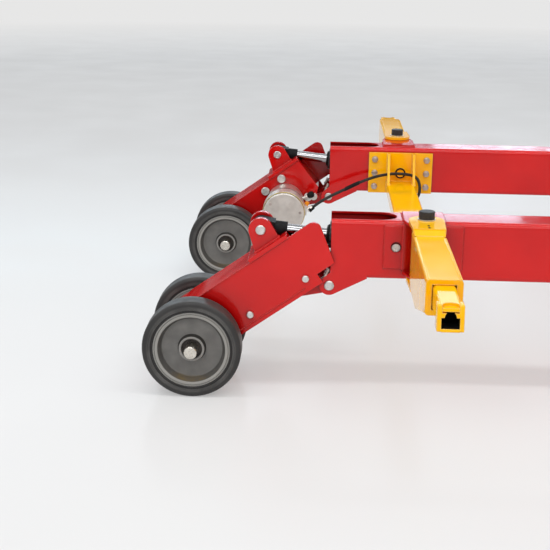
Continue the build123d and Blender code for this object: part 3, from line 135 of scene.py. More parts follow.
def spread(tree, factor, from_low, from_high, low, high):
    """A factor stretched from one range to another and held inside it."""
    stretch = tree.nodes.new("ShaderNodeMapRange")
    stretch.inputs["From Min"].default_value = from_low
    stretch.inputs["From Max"].default_value = from_high
    stretch.inputs["To Min"].default_value = low
    stretch.inputs["To Max"].default_value = high
    tree.links.new(factor, stretch.inputs["Value"])
    return stretch.outputs["Result"]


def roughen(tree, shader, factor, low, high):
    """Roughness between two values, chosen by a noise."""
    tree.links.new(spread(tree, factor, *NOISE_RANGE, low, high), shader.inputs["Roughness"])


def over(tree, factor, below, colour):
    """A second colour laid over the first where the factor is high."""
    mix = tree.nodes.new("ShaderNodeMix")
    mix.data_type = "RGBA"
    mix.inputs["B"].default_value = (*colour, 1.0)
    tree.links.new(factor, mix.inputs["Factor"])
    tree.links.new(below, mix.inputs["A"])
    return mix.outputs["Result"]


print("noise and colour helpers ready")

# %% [markdown]
# Light catches the edges of a real piece, because no corner is perfectly sharp. Rounding every corner in
# the mesh would cost many faces, so the Bevel node bends the normals near a corner instead. Where its
# normal leaves the true one there is a corner, which is also where paint wears thin. The same mask makes
# edges paler, partly as wear and partly as a painted highlight.

# %% Helpers for corners and bump
PAINT_CORNER, SMALL_CORNER = 0.003, 0.0008
EDGE_MASK_RANGE = (0.985, 0.80)


def rounded_normal(tree, radius):
    """The surface's normal with sharp corners rounded by a radius."""
    corner = tree.nodes.new("ShaderNodeBevel")
    corner.samples = 4
    corner.inputs["Radius"].default_value = radius
    return corner.outputs["Normal"]


# Mask for pale edges: partly wear, partly a painted highlight.
def edge_wear_and_highlight(tree, rounded, strength):
    """High on sharp edges, where the rounded normal leaves the true one."""
    surface = tree.nodes.new("ShaderNodeNewGeometry")
    compare = tree.nodes.new("ShaderNodeVectorMath")
    compare.operation = "DOT_PRODUCT"
    tree.links.new(rounded, compare.inputs[0])
    tree.links.new(surface.outputs["True Normal"], compare.inputs[1])
    return spread(tree, compare.outputs["Value"], *EDGE_MASK_RANGE, 0.0, strength)


def emboss(tree, shader, factor, strength, distance, rounded=None):
    """Bump from a factor, on top of a rounded normal if there is one."""
    bump = tree.nodes.new("ShaderNodeBump")
    bump.inputs["Strength"].default_value = strength
    bump.inputs["Distance"].default_value = distance
    tree.links.new(factor, bump.inputs["Height"])
    if rounded is not None:
        tree.links.new(rounded, bump.inputs["Normal"])
    tree.links.new(bump.outputs["Normal"], shader.inputs["Normal"])


finishes = {}
print("corner and bump helpers ready")

# %% [markdown]
# The beams and wheel arms are sprayed with gloss red enamel over welded plate. Enamel is a deep colour
# under one clear reflection, so the shader is smooth and not metallic. Sprayed paint rubs pale on sharp
# corners, and that pale edge colour doubles as a painted highlight; a fine bump gives the orange peel. In a
# nook between plates the red is darkened as painted shade, where the Ambient Occlusion node finds parts
# close by. The welds get a coat of their own, less smooth and painted darker to stand for shade along the
# seams.

# %% Red, yellow and black enamel
NOOK_REACH = 0.14
NOOK_RANGE = (0.30, 0.88)


def painted_nook_shade(tree):
    """One in a nook narrower than the reach, and zero on an open face."""
    shade = tree.nodes.new("ShaderNodeAmbientOcclusion")
    shade.samples = 6
    shade.inputs["Distance"].default_value = NOOK_REACH
    return spread(tree, shade.outputs["AO"], *NOOK_RANGE, 1.0, 0.0)


def enamel(name, dark, light, worn_and_lit, gloss, specular, wear_and_highlight=0.35, peel=0.06, nook_shade_colour=None):
    """Sprayed paint: two shades, a pale edge of wear and painted highlight, and if given a painted nook
    shade.
    """
    finish, tree, shader = new_finish(name, light, specular=specular)
    corners = rounded_normal(tree, PAINT_CORNER)
    colour = tint(tree, grain(tree, 4.0, 6.0), dark, light)
    colour = over(tree, edge_wear_and_highlight(tree, corners, wear_and_highlight), colour, worn_and_lit)
    if nook_shade_colour:
        # Painted shade: the colour darkens in nooks that the Ambient Occlusion node finds.
        colour = over(tree, painted_nook_shade(tree), colour, nook_shade_colour)
    tree.links.new(colour, shader.inputs["Base Color"])
    roughen(tree, shader, grain(tree, 18.0, 5.0), *gloss)
    emboss(tree, shader, grain(tree, 260.0, 2.0), peel, 0.0004, corners)
    return finish


# Red: its third colour is the pale edge, partly a painted highlight, and the last is the painted nook
# shade.
finishes["red_paint"] = enamel(
    "red_enamel", (0.56, 0.003, 0.003), (0.66, 0.006, 0.005), (0.78, 0.09, 0.075), (0.06, 0.15), 0.42,
    nook_shade_colour=(0.24, 0.0006, 0.0006),
)
finishes["case_paint"] = finishes["red_paint"]
# Weld coat: a darker red that is painted shade along the seams, and less smooth.
shaded_red_weld = enamel(
    "shaded_red_weld", (0.40, 0.002, 0.002), (0.58, 0.004, 0.004), (0.85, 0.10, 0.09), (0.12, 0.22), 0.3,
    wear_and_highlight=0.4, peel=0.2,
)
# Yellow: the near-white edge colour is mostly a painted highlight on the rounded corners.
finishes["yellow_paint"] = enamel(
    "yellow_enamel", (0.95, 0.455, 0.001), (1.0, 0.53, 0.002), (1.0, 0.78, 0.34), (0.05, 0.09), 0.28,
    wear_and_highlight=0.5, peel=0.008,
)
finishes["barrel_paint"] = enamel(
    "barrel_enamel", (0.014, 0.014, 0.015), (0.024, 0.024, 0.025), (0.06, 0.06, 0.06), (0.20, 0.34), 0.5,
)
print("enamels made")

# %% [markdown]
# Pins and bolts are zinc plated: bright and a little mottled. The axle ends are turned steel of a warmer
# grey, and the piston rod is hard chrome, the smoothest of all. Metals differ in colour and roughness
# much more than in kind, so one function with a few numbers makes every one.

# %% Metals
def metal(name, dark, light, rough, scale=60.0, bump=0.08):
    """Metal with mottled colour and roughness and a fine grain."""
    finish, tree, shader = new_finish(name, light, metallic=1.0)
    tree.links.new(tint(tree, grain(tree, scale, 5.0), dark, light), shader.inputs["Base Color"])
    roughen(tree, shader, grain(tree, scale * 2.0), *rough)
    emboss(tree, shader, grain(tree, scale * 8.0, 3.0), bump, 0.0004, rounded_normal(tree, SMALL_CORNER))
    return finish


finishes["zinc_steel"] = metal("zinc_plate", (0.60, 0.59, 0.57), (0.80, 0.79, 0.77), (0.26, 0.42))
finishes["axle_steel"] = metal("turned_steel", (0.64, 0.60, 0.54), (0.80, 0.76, 0.69), (0.24, 0.38), 90.0)
finishes["rod_chrome"] = metal(
    "hard_chrome", (0.38, 0.38, 0.39), (0.45, 0.45, 0.46), (0.06, 0.12), bump=0.01,
)
finishes["motor_alloy"] = metal("motor_alloy", (0.64, 0.60, 0.555), (0.79, 0.75, 0.70), (0.36, 0.52), 30.0)
finishes["dark_steel"] = metal("oiled_steel", (0.08, 0.08, 0.085), (0.16, 0.16, 0.165), (0.35, 0.55))
bolt_zinc = metal("bolt_zinc", (0.44, 0.38, 0.35), (0.60, 0.53, 0.49), (0.30, 0.45))
brass = metal("brass_ring", (0.62, 0.47, 0.13), (0.76, 0.60, 0.20), (0.24, 0.38))
print("metals made")

# %% [markdown]
# Dark parts need the most care, because black without variation reads as a hole. Rubber is a little
# dusty, moulded plastic has a fine texture, and painted black steel has a soft gloss. The same function
# serves for the orange test plug, which is dull plastic too.

# %% Rubber, plastic and black steel
def dull(name, dark, light, rough, scale, bump, specular=0.2):
    """Dull finish with a little variation in colour, roughness and height."""
    finish, tree, shader = new_finish(name, light, specular=specular)
    tree.links.new(tint(tree, grain(tree, scale, 6.0), dark, light), shader.inputs["Base Color"])
    roughen(tree, shader, grain(tree, scale * 3.0), *rough)
    emboss(tree, shader, grain(tree, scale * 12.0, 3.0), bump, 0.0006, rounded_normal(tree, SMALL_CORNER))
    return finish


finishes["black_plastic"] = dull(
    "black_plastic", (0.005, 0.005, 0.0055), (0.012, 0.012, 0.0125), (0.38, 0.55), 60.0, 0.10, 0.12,
)
finishes["cable_rubber"] = dull(
    "cable_rubber", (0.018, 0.017, 0.016), (0.036, 0.034, 0.031), (0.45, 0.65), 80.0, 0.15,
)
finishes["black_steel"] = dull(
    "black_steel", (0.006, 0.006, 0.007), (0.014, 0.014, 0.015), (0.44, 0.60), 50.0, 0.08, 0.12,
)
finishes["caster_poly"] = dull(
    "caster_poly", (0.030, 0.030, 0.032), (0.060, 0.060, 0.062), (0.40, 0.58), 30.0, 0.12,
)
cap_plastic = dull("cap_plastic", (0.026, 0.026, 0.029), (0.040, 0.040, 0.043), (0.36, 0.50), 60.0, 0.10)
plug_plastic = dull("plug_plastic", (0.72, 0.20, 0.004), (0.84, 0.28, 0.008), (0.30, 0.45), 60.0, 0.08)
print("dull finishes made")

# %% [markdown]
# Wheels carry their wear in rings: dirt in the dish, a bright lip, a dark bead. Separate objects could be
# painted one by one, but the axle's place is known, so one material can tell the rings apart by their
# distance from the axle line.

# %% Helpers for ringed finishes
AXLE_X, AXLE_Z = -1.3735, 0.127


def combine(tree, operation, first, second):
    """Two factors joined by a Math node, such as MULTIPLY or MAXIMUM."""
    both = tree.nodes.new("ShaderNodeMath")
    both.operation = operation
    tree.links.new(first, both.inputs[0])
    tree.links.new(second, both.inputs[1])
    return both.outputs["Value"]


def height_above_floor(tree):
    """Height of a point at rest."""
    place = tree.nodes.new("ShaderNodeTexCoord")
    split = tree.nodes.new("ShaderNodeSeparateXYZ")
    tree.links.new(place.outputs["Object"], split.inputs["Vector"])
    return split.outputs["Z"]


def axle_distance(tree):
    """Distance of a point from the axle line."""
    place = tree.nodes.new("ShaderNodeTexCoord")
    flat = tree.nodes.new("ShaderNodeMapping")
    flat.inputs["Location"].default_value = (-AXLE_X, 0.0, -AXLE_Z)
    flat.inputs["Scale"].default_value = (1.0, 0.0, 1.0)
    radius = tree.nodes.new("ShaderNodeVectorMath")
    radius.operation = "LENGTH"
    tree.links.new(place.outputs["Object"], flat.inputs["Vector"])
    tree.links.new(flat.outputs["Vector"], radius.inputs[0])
    return radius.outputs["Value"]


def ring_band(tree, distance, inner, outer, strength=1.0, fade=0.002):
    """High between two radii, fading at both."""
    rise = spread(tree, distance, inner - fade, inner, 0.0, strength)
    fall = spread(tree, distance, outer, outer + fade, 1.0, 0.0)
    return combine(tree, "MULTIPLY", rise, fall)


def paint_rings(tree, distance, colour, rings):
    """Lays rings over a colour, each given by two radii, strength, fade and its own colour."""
    for inner, outer, strength, fade, shade in rings:
        colour = over(tree, ring_band(tree, distance, inner, outer, strength, fade), colour, shade)
    return colour


print("ring helpers ready")

# %% [markdown]
# The wheel centres are grey castings. Their lip and boss are machined, so they are paler than the rough
# dish. The inner wall of the lip, the foot of the boss and the bore are darkened as painted shade, the bore
# over brown dirt, and the dish turns brown in patches towards the bottom.

# %% Cast wheel centre
HUB_BORE_R = 0.0270
BOSS_R = 0.0328
BOSS_SHADE_R = 0.0362
DISH_R = 0.0775
LIP_R = 0.0870
LIP_GROOVE = (0.0928, 0.0952)
CASTING_EDGE_R = 0.0985
BROWN_LEVEL = (0.050, 0.062)

finish, tree, shader = new_finish("cast_rim", (0.155, 0.148, 0.138), specular=0.4)
away = axle_distance(tree)
colour = tint(tree, grain(tree, 30.0, 6.0), (0.140, 0.134, 0.126), (0.185, 0.178, 0.166))
# Painted shade on the inner wall of the lip.
colour = paint_rings(tree, away, colour, (
    (DISH_R + 0.0015, LIP_R - 0.0015, 0.75, 0.002, (0.050, 0.046, 0.042)),
))
patches = spread(tree, grain(tree, 22.0, 5.0), 0.40, 0.60, 0.2, 1.0)
low_down = spread(tree, height_above_floor(tree), *BROWN_LEVEL, 1.0, 0.0)
low_brown_patches = combine(tree, "MULTIPLY", patches, low_down)
low_brown = combine(tree, "MULTIPLY", ring_band(tree, away, DISH_R, LIP_R - 0.002), low_brown_patches)
colour = over(tree, low_brown, colour, (0.13, 0.095, 0.048))
# Bore dark with dirt and painted shade, boss face machined pale, painted shade round the boss's foot, lip
# pale.
colour = paint_rings(tree, away, colour, (
    (0.0, HUB_BORE_R - 0.0005, 0.9, 0.0008, (0.040, 0.030, 0.025)),
    (HUB_BORE_R + 0.0005, BOSS_R - 0.0006, 1.0, 0.0005, (0.25, 0.24, 0.225)),
    (BOSS_R + 0.0004, BOSS_SHADE_R, 0.92, 0.0006, (0.026, 0.023, 0.020)),
    (LIP_R, LIP_GROOVE[0], 1.0, 0.0008, (0.300, 0.290, 0.268)),
    (LIP_GROOVE[1], CASTING_EDGE_R, 1.0, 0.0008, (0.240, 0.232, 0.215)),
))
tree.links.new(colour, shader.inputs["Base Color"])
roughen(tree, shader, grain(tree, 60.0), 0.40, 0.58)
emboss(tree, shader, grain(tree, 420.0, 3.0), 0.14, 0.0006)
finishes["cast_rim"] = finish
print("cast wheel centre made")

# %% [markdown]
# The tyres are solid rubber. The sidewall rubs grey and dusty, and the rubber is darker in a ring at the
# bead next to the casting and in another at the shoulder.

# %% Tyre rubber
BEAD_R = 0.1042
SHOULDER = (0.1160, 0.1245)

finish, tree, shader = new_finish("tyre_rubber", (0.065, 0.062, 0.060), specular=0.35)
colour = tint(tree, grain(tree, 18.0, 6.0), (0.052, 0.050, 0.048), (0.092, 0.088, 0.084))
colour = paint_rings(tree, axle_distance(tree), colour, (
    (CASTING_EDGE_R, BEAD_R, 0.8, 0.002, (0.016, 0.015, 0.015)),
    (*SHOULDER, 0.8, 0.004, (0.022, 0.021, 0.021)),
))
tree.links.new(colour, shader.inputs["Base Color"])
roughen(tree, shader, grain(tree, 40.0), 0.36, 0.56)
emboss(tree, shader, grain(tree, 300.0, 3.0), 0.15, 0.0006, rounded_normal(tree, SMALL_CORNER))
finishes["tyre_rubber"] = finish
print("tyre rubber made")

# %% [markdown]
# The record names a finish for every solid, so one loop paints them all. Two kinds of piece then differ
# from the rest of their slot: the caps of the side pins are a greyer plastic, and the bolts of the cross
# tube are a duller, warmer zinc.

# %% Paint the solids
for row in frame["record"]["subparts"]:
    skin = nodes[row["node"]].data
    skin.materials.clear()
    skin.materials.append(finishes[row["material_slot"]])
for side in ("right", "left"):
    nodes[f"{side}_side_cap"].data.materials[0] = cap_plastic
nodes["cross_tube_bolts"].data.materials[0] = bolt_zinc

# %% [markdown]
# New pieces are modelled in a bmesh and shaped by its operators. Pieces are made for the cart's right
# side and mirrored for its left. Places are given the way a fitter would: along a beam as reach, out
# and height, and on a wheel arm as a distance along the arm, square to it, and out.

# %% Helpers for places and pieces
SIDES = (("right", -1), ("left", 1))
SHARP_ANGLE = math.radians(32.0)
BEAM_Y = 0.5435
ARM_ANGLE = math.radians(35.5)
OUTBOARD = Vector((0, -1, 0))
INBOARD = Vector((0, 1, 0))
FORWARD = Vector((1, 0, 0))
UP = Vector((0, 0, 1))
DOWN = Vector((0, 0, -1))


def beam_at(reach, out, height):
    """A point by its distance forward of the axle, out from the beam's middle, and height."""
    return Vector((AXLE_X + reach, -(BEAM_Y + out), height))


def arm_at(along, square, out):
    """A point by its distance along the wheel arm from the axle, square to it, and out."""
    reach = along * math.cos(ARM_ANGLE) - square * math.sin(ARM_ANGLE)
    rise = along * math.sin(ARM_ANGLE) + square * math.cos(ARM_ANGLE)
    return beam_at(reach, out, AXLE_Z + rise)


def piece(name, work, finish, body):
    """Turns a bmesh into an object that rides on a body."""
    bmesh.ops.recalc_face_normals(work, faces=work.faces)
    mesh = bpy.data.meshes.new(name)
    work.to_mesh(mesh)
    work.free()
    mesh.polygons.foreach_set("use_smooth", [True] * len(mesh.polygons))
    mesh.set_sharp_from_angle(angle=SHARP_ANGLE)
    mesh.materials.append(finish)
    made = bpy.data.objects.new(name, mesh)
    scene.collection.objects.link(made)
    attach(made, body)
    return made


def on_both_sides(name, build, slot, body, finish=None):
    """Makes a piece for the right side and its mirror image for the left."""
    made = []
    for side, hand in SIDES:
        work = build()
        if hand > 0:
            bmesh.ops.scale(work, vec=(1.0, -1.0, 1.0), verts=work.verts)
        home = body if body == "frame" else f"{side}_{body}"
        made.append(piece(f"{side}_{name}", work, finish or finishes[slot], home))
    return made


print("piece helpers ready")

# %% [markdown]
# Most small pieces of the cart came off a lathe. A section is drawn as a few points, each by its radius
# and its place along the axis, and spin carries it round. Bevel then rounds the rings that need it.

# %% Helpers for turned pieces
MERGE_GAP = 1e-6
RING_SLACK = 2e-5


def lathe(work, section, centre, axis, steps=48):
    """Spins a closed section of (radius, along) points about an axis through centre."""
    centre, axis = Vector(centre), Vector(axis)
    radial = axis.orthogonal().normalized()
    ring = [work.verts.new(centre + radial * r + axis * a) for r, a in section]
    edges = [work.edges.new(pair) for pair in zip(ring, ring[1:] + ring[:1])]
    bmesh.ops.spin(
        work, geom=ring + edges, cent=centre, axis=axis, angle=2.0 * math.pi, steps=steps,
        use_merge=True, use_duplicate=False,
    )
    bmesh.ops.remove_doubles(work, verts=work.verts, dist=MERGE_GAP)
    return work


def soften(work, edges, offset, segments):
    """Bevels edges to a round profile."""
    bmesh.ops.bevel(
        work, geom=edges, offset=offset, segments=segments, profile=0.5, affect="EDGES", material=-1,
    )


def round_rings(work, centre, axis, rings):
    """Softens the rings of edges that lie at (radius, along), each by (offset, segments)."""
    centre, axis = Vector(centre), Vector(axis)
    for r, a, offset, segments in rings:
        chosen = []
        for edge in work.edges:
            fits = True
            for vert in edge.verts:
                along = (vert.co - centre).dot(axis)
                away = (vert.co - centre - axis * along).length
                fits = fits and abs(along - a) < RING_SLACK and abs(away - r) < RING_SLACK
            if fits:
                chosen.append(edge)
        soften(work, chosen, offset, segments)
    return work


print("turning helpers ready")

# %% [markdown]
# The motor cable leaves a gland on the motor, rises past the hinge, goes through the gussets and bends
# down into a box under the cross tube. Its line is a smooth NURBS spline guided by control points, and the
# tube follows that spline. The motor swings with the wheel arm and the gussets do not, but here the tube
# is left in place and rides on neither. A thicker shrink sleeve is cut from the same line.

# %% Helpers for the motor cables
CABLE_R = 0.005
CABLE_SHARP_ANGLE = math.radians(60.0)
SHRINK_R = 0.0066
CABLE_ROUTE = (
    (0.2915, 0.180, 0.2706), (0.317, 0.175, 0.290), (0.354, 0.167, 0.310), (0.399, 0.154, 0.330),
    (0.441, 0.140, 0.349), (0.493, 0.121, 0.367), (0.543, 0.103, 0.3755), (0.584, 0.098, 0.377),
    (0.628, 0.103, 0.373), (0.644, 0.111, 0.361), (0.650, 0.119, 0.341), (0.650, 0.124, 0.321),
    (0.645, 0.126, 0.305), (0.634, 0.126, 0.293), (0.618, 0.126, 0.293),
)
SHRINK_SPAN = (0.398, 0.446)


def cable_line(hand, thickness, name):
    """The cable's spline as a mesh: a line of points, or a tube of a thickness."""
    line = bpy.data.curves.new(name, "CURVE")
    line.dimensions = "3D"
    line.bevel_depth = thickness
    line.bevel_resolution = 4
    line.use_fill_caps = True
    spline = line.splines.new("NURBS")
    spline.points.add(len(CABLE_ROUTE) - 1)
    for point, (reach, inboard, height) in zip(spline.points, CABLE_ROUTE):
        point.co = (AXLE_X + reach, hand * (BEAM_Y - inboard), height, 1.0)
    spline.order_u = 3
    spline.use_endpoint_u = True
    spline.resolution_u = 8
    guide = bpy.data.objects.new(name, line)
    scene.collection.objects.link(guide)
    bpy.context.view_layer.update()
    mesh = bpy.data.meshes.new_from_object(guide.evaluated_get(bpy.context.evaluated_depsgraph_get()))
    bpy.data.objects.remove(guide)
    mesh.name = name
    return mesh


def bend_with_arm(name, mesh, slot):
    """Gives a tube its finish and smooth shading and leaves it in place, on no body."""
    mesh.materials.clear()
    mesh.materials.append(finishes[slot])
    mesh.polygons.foreach_set("use_smooth", [True] * len(mesh.polygons))
    mesh.set_sharp_from_angle(angle=CABLE_SHARP_ANGLE)
    made = bpy.data.objects.new(name, mesh)
    scene.collection.objects.link(made)
    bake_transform(made)
    return made


def shrink_sleeve(hand, name):
    """A short length of a thicker tube on the same line, closed at both cuts."""
    work = bmesh.new()
    work.from_mesh(cable_line(hand, SHRINK_R, name))
    for reach, normal in ((SHRINK_SPAN[0], -FORWARD), (SHRINK_SPAN[1], FORWARD)):
        cut = bmesh.ops.bisect_plane(
            work, geom=work.verts[:] + work.edges[:] + work.faces[:],
            plane_co=(AXLE_X + reach, 0, 0), plane_no=normal, clear_outer=True,
        )
        rim = [part for part in cut["geom_cut"] if isinstance(part, bmesh.types.BMEdge)]
        bmesh.ops.edgeloop_fill(work, edges=rim)
    tube = bpy.data.meshes.new(name)
    work.to_mesh(tube)
    work.free()
    return tube


print("cable helpers ready")

# %% [markdown]
# Each cable is one tube, which stands for the cable among the solids, and the solid cable is hidden. Its
# length is measured along the points of its own line.

# %% Motor cables
for side, hand in SIDES:
    points = [vert.co.copy() for vert in cable_line(hand, 0.0, f"{side}_cable_points").vertices]
    tube = cable_line(hand, CABLE_R, f"{side}_cable")
    cable = bend_with_arm(f"{side}_cable", tube, "cable_rubber")
    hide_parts(f"{side}_motor_cable")
    bend_with_arm(
        f"{side}_cable_shrink", shrink_sleeve(hand, f"{side}_shrink"), "black_plastic",
    )

# %% [markdown]
# Each driven wheel is a cast centre with a thick band of solid rubber bonded on. The solids already have
# the outline, so the lathe here adds what a foundry and a mould leave: rounded lips, a bead groove,
# mould lines on the sidewall and a soft shoulder. Bevel on chosen rings is simpler than drawing arcs.

# %% Driven wheels
WHEEL_OUT = 0.1125
TYRE_R, TYRE_FACE = 0.127, 0.0307
RIM_R = 0.099
AXLE_R, AXLE_GAP = 0.015, 0.0002
HUB_FLOOR, BOSS_FACE = 0.0040, 0.0210
BOSS_FOOT_R, DISH_FOOT_R, WEB_HALF = 0.0352, 0.0795, 0.0062
DISH_TOP_R, DISH_TOP = 0.0865, 0.0285
CASTING_R, LIP_FACE = 0.0988, 0.0290


def both_faces(half):
    """A section for one face, continued to the other face of the wheel."""
    return half + [(r, -a) for r, a in reversed(half)]


def tyre_band(out):
    """Tyre with a bead groove, a mould line on each sidewall and soft shoulders."""
    centre = beam_at(0.0, out, AXLE_Z)
    half = [
        (RIM_R, 0.0282), (0.1002, 0.0296), (0.1022, 0.0296), (0.1030, 0.0286), (0.1042, 0.0286),
        (0.1050, 0.0303), (0.1098, 0.0306), (0.1102, 0.0301), (0.1110, 0.0301), (0.1114, 0.0307),
        (TYRE_R, TYRE_FACE), (TYRE_R, 0.012),
    ]
    work = lathe(bmesh.new(), both_faces(half), centre, OUTBOARD, steps=128)
    shoulders = [(TYRE_R, face, 0.0088, 6) for face in (TYRE_FACE, -TYRE_FACE)]
    return round_rings(work, centre, OUTBOARD, shoulders)


def cast_centre(out):
    """Casting with a hub boss, a flat web, a dish and a grooved lip."""
    centre = beam_at(0.0, out, AXLE_Z)
    half = [
        (AXLE_R + AXLE_GAP, HUB_FLOOR), (HUB_BORE_R, HUB_FLOOR), (HUB_BORE_R, BOSS_FACE),
        (BOSS_R, BOSS_FACE), (BOSS_FOOT_R, WEB_HALF), (DISH_FOOT_R, WEB_HALF), (DISH_TOP_R, DISH_TOP),
        (0.0932, LIP_FACE), (0.0936, 0.0280), (0.0946, 0.0280), (0.0950, LIP_FACE),
        (CASTING_R, LIP_FACE), (CASTING_R, 0.0230),
    ]
    work = lathe(bmesh.new(), both_faces(half), centre, OUTBOARD, steps=96)
    softened = []
    for sign in (1, -1):
        softened += [
            (HUB_BORE_R, sign * BOSS_FACE, 0.0012, 2), (BOSS_R, sign * BOSS_FACE, 0.0008, 2),
            (BOSS_FOOT_R, sign * WEB_HALF, 0.0030, 3), (DISH_FOOT_R, sign * WEB_HALF, 0.0045, 4),
            (DISH_TOP_R, sign * DISH_TOP, 0.0014, 2), (CASTING_R, sign * LIP_FACE, 0.0012, 2),
        ]
    return round_rings(work, centre, OUTBOARD, softened)


for row, out in (("outer", WHEEL_OUT), ("inner", -WHEEL_OUT)):
    bands = on_both_sides(f"{row}_tyre_band", lambda: tyre_band(out), "tyre_rubber", "wheel_body")
    centres = on_both_sides(f"{row}_cast_centre", lambda: cast_centre(out), "cast_rim", "wheel_body")
    for (side, hand), band, middle in zip(SIDES, bands, centres):
        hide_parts(f"{side}_{row}_tyre")
        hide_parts(f"{side}_{row}_rim")
print("driven wheels turned")

# %% [markdown]
# Welds tell the eye that plates are joined and not carved. A weld is a row of overlapping drops of
# metal, so that is how it is laid here: small flattened spheres along each run, each a little
# different in size. They are painted in the colour of the plate they sit on, the red ones a darker red
# that is painted shade along the seam.

# %% Helpers for welds
WELD_R = 0.0036
DROP_PITCH, DROP_LENGTH = 1.05, 0.9

one_drop = bmesh.new()
bmesh.ops.create_uvsphere(one_drop, u_segments=8, v_segments=5, radius=1.0)
drop_shape = bpy.data.meshes.new("weld_drop")
one_drop.to_mesh(drop_shape)
one_drop.free()


def weld_run(work, start, end, size=WELD_R):
    """Lays overlapping drops between two points."""
    start, end = Vector(start), Vector(end)
    heading = (end - start).to_track_quat("Z", "Y").to_matrix().to_4x4()
    drops = max(2, round((end - start).length / (DROP_PITCH * size)))
    for drop in range(drops + 1):
        swell = 1.0 + 0.11 * math.sin(7.3 * drop) + 0.07 * math.sin(3.1 * drop + 1.0)
        place = Matrix.Translation(start.lerp(end, drop / drops)) @ heading
        laid = drop_shape.copy()
        laid.transform(place @ Matrix.Diagonal((size * swell, size * swell, DROP_LENGTH * size, 1.0)))
        work.from_mesh(laid)
        bpy.data.meshes.remove(laid)


def weld_path(work, corners, size=WELD_R, closed=False):
    """Lays a weld along a line of corners."""
    ends = corners[1:] + corners[:1] if closed else corners[1:]
    for start, end in zip(corners, ends):
        weld_run(work, start, end, size)


def weld_ring(work, centre, axis, radius, sides=20):
    """Lays a weld round a boss."""
    radial = axis.orthogonal().normalized() * radius
    corners = []
    for side in range(sides):
        corners.append(centre + Matrix.Rotation(2.0 * math.pi * side / sides, 3, axis) @ radial)
    weld_path(work, corners, closed=True)


print("weld helpers ready")

# %% [markdown]
# On the red beams the welds run round the doubler plate, down the bracket of the side arm, across its
# upper ear and under the hinge lugs. They wear the weld coat, whose darker red is painted shade along the
# seams. The bracket carries the load of the side arm, so its weld is the heaviest.

# %% Welds on the beams
HALF_BEAM = 0.057
BEAM_TOP, BEAM_BOTTOM = 0.456, 0.304
CORNER = 0.010
DOUBLER = (0.482, 0.678, 0.335, 0.444)
DOUBLER_T = 0.005
BRACKET = (0.5285, 0.6325)
BRACKET_WELD_R = 0.0044
EAR_INSIDE = -0.030
LUG_T = 0.012
LUG_WELD = (0.362, 0.438)


def beam_welds():
    """Welds of the doubler plate, the side-arm bracket and the hinge lugs."""
    work = bmesh.new()
    rear, front, low, high = DOUBLER
    for near, far in ((rear, BRACKET[0]), (BRACKET[1], front)):
        weld_run(work, beam_at(near, HALF_BEAM, high), beam_at(far, HALF_BEAM, high))
        weld_run(work, beam_at(near, HALF_BEAM, low), beam_at(far, HALF_BEAM, low))
    face = HALF_BEAM + DOUBLER_T
    for reach in (rear, front):
        weld_run(work, beam_at(reach, HALF_BEAM, low), beam_at(reach, HALF_BEAM, high))
    for reach in BRACKET:
        weld_run(work, beam_at(reach, face, low), beam_at(reach, face, high), BRACKET_WELD_R)
        weld_run(work, beam_at(reach, HALF_BEAM, high), beam_at(reach, HALF_BEAM, BEAM_TOP - CORNER))
        weld_run(work, beam_at(reach, HALF_BEAM - CORNER, BEAM_TOP), beam_at(reach, EAR_INSIDE, BEAM_TOP))
    weld_run(work, beam_at(BRACKET[0], EAR_INSIDE, BEAM_TOP), beam_at(BRACKET[1], EAR_INSIDE, BEAM_TOP))
    for out in (HALF_BEAM - LUG_T, LUG_T - HALF_BEAM):
        weld_run(work, beam_at(LUG_WELD[0], out, BEAM_BOTTOM), beam_at(LUG_WELD[1], out, BEAM_BOTTOM))
    return work


on_both_sides("beam_welds", beam_welds, "red_paint", "frame", shaded_red_weld)
print("beam welds laid")

# %% [markdown]
# On a wheel arm the welds run along the feet of the clevis ears, round the clevis base and the axle boss,
# and along the top edges and the seam of the floor plate. The long seams are much thinner than the rest,
# because they only close the box.

# %% Welds on the wheel arms
ARM_HALF, ARM_TOP = 0.068, 0.091
ARM_BOSS_R = 0.0365
CLEVIS_TOP = 0.101
CLEVIS_SPAN, CLEVIS_WELD_R = (0.240, 0.357), 0.0028
EAR_SPAN, EAR_OUT = (0.262, 0.334), (0.045, 0.031)
SEAM_SPAN, SEAM_SQUARE, SEAM_R = (0.045, 0.318), -0.0430, 0.0019
RIDGE_SPAN, RIDGE_SINK = (0.040, 0.236), 0.0009


def arm_welds():
    """Welds of the clevis, the axle boss, the floor plate and the top plate."""
    work = bmesh.new()
    near, far = EAR_SPAN
    for hand in (1, -1):
        outer, inner = hand * EAR_OUT[0], hand * EAR_OUT[1]
        corners = [(near, outer), (far, outer), (far, inner), (near, inner)]
        weld_path(work, [arm_at(along, CLEVIS_TOP, out) for along, out in corners], closed=True)
        edge = hand * ARM_HALF
        start, end = (arm_at(along, ARM_TOP, edge) for along in CLEVIS_SPAN)
        weld_run(work, start, end, CLEVIS_WELD_R)
        weld_ring(work, arm_at(0.0, 0.0, edge), OUTBOARD, ARM_BOSS_R)
        start, end = (arm_at(along, SEAM_SQUARE, edge) for along in SEAM_SPAN)
        weld_run(work, start, end, SEAM_R)
        ridge = edge - hand * RIDGE_SINK
        start, end = (arm_at(along, ARM_TOP - RIDGE_SINK, ridge) for along in RIDGE_SPAN)
        weld_run(work, start, end, SEAM_R)
    flank = ARM_HALF - CORNER
    weld_run(work, arm_at(CLEVIS_SPAN[0], ARM_TOP, -flank), arm_at(CLEVIS_SPAN[0], ARM_TOP, flank))
    return work


# The weld coat's darker red is painted shade along the seams.
on_both_sides("arm_welds", arm_welds, "red_paint", "arm_body", shaded_red_weld)
print("wheel arm welds laid")

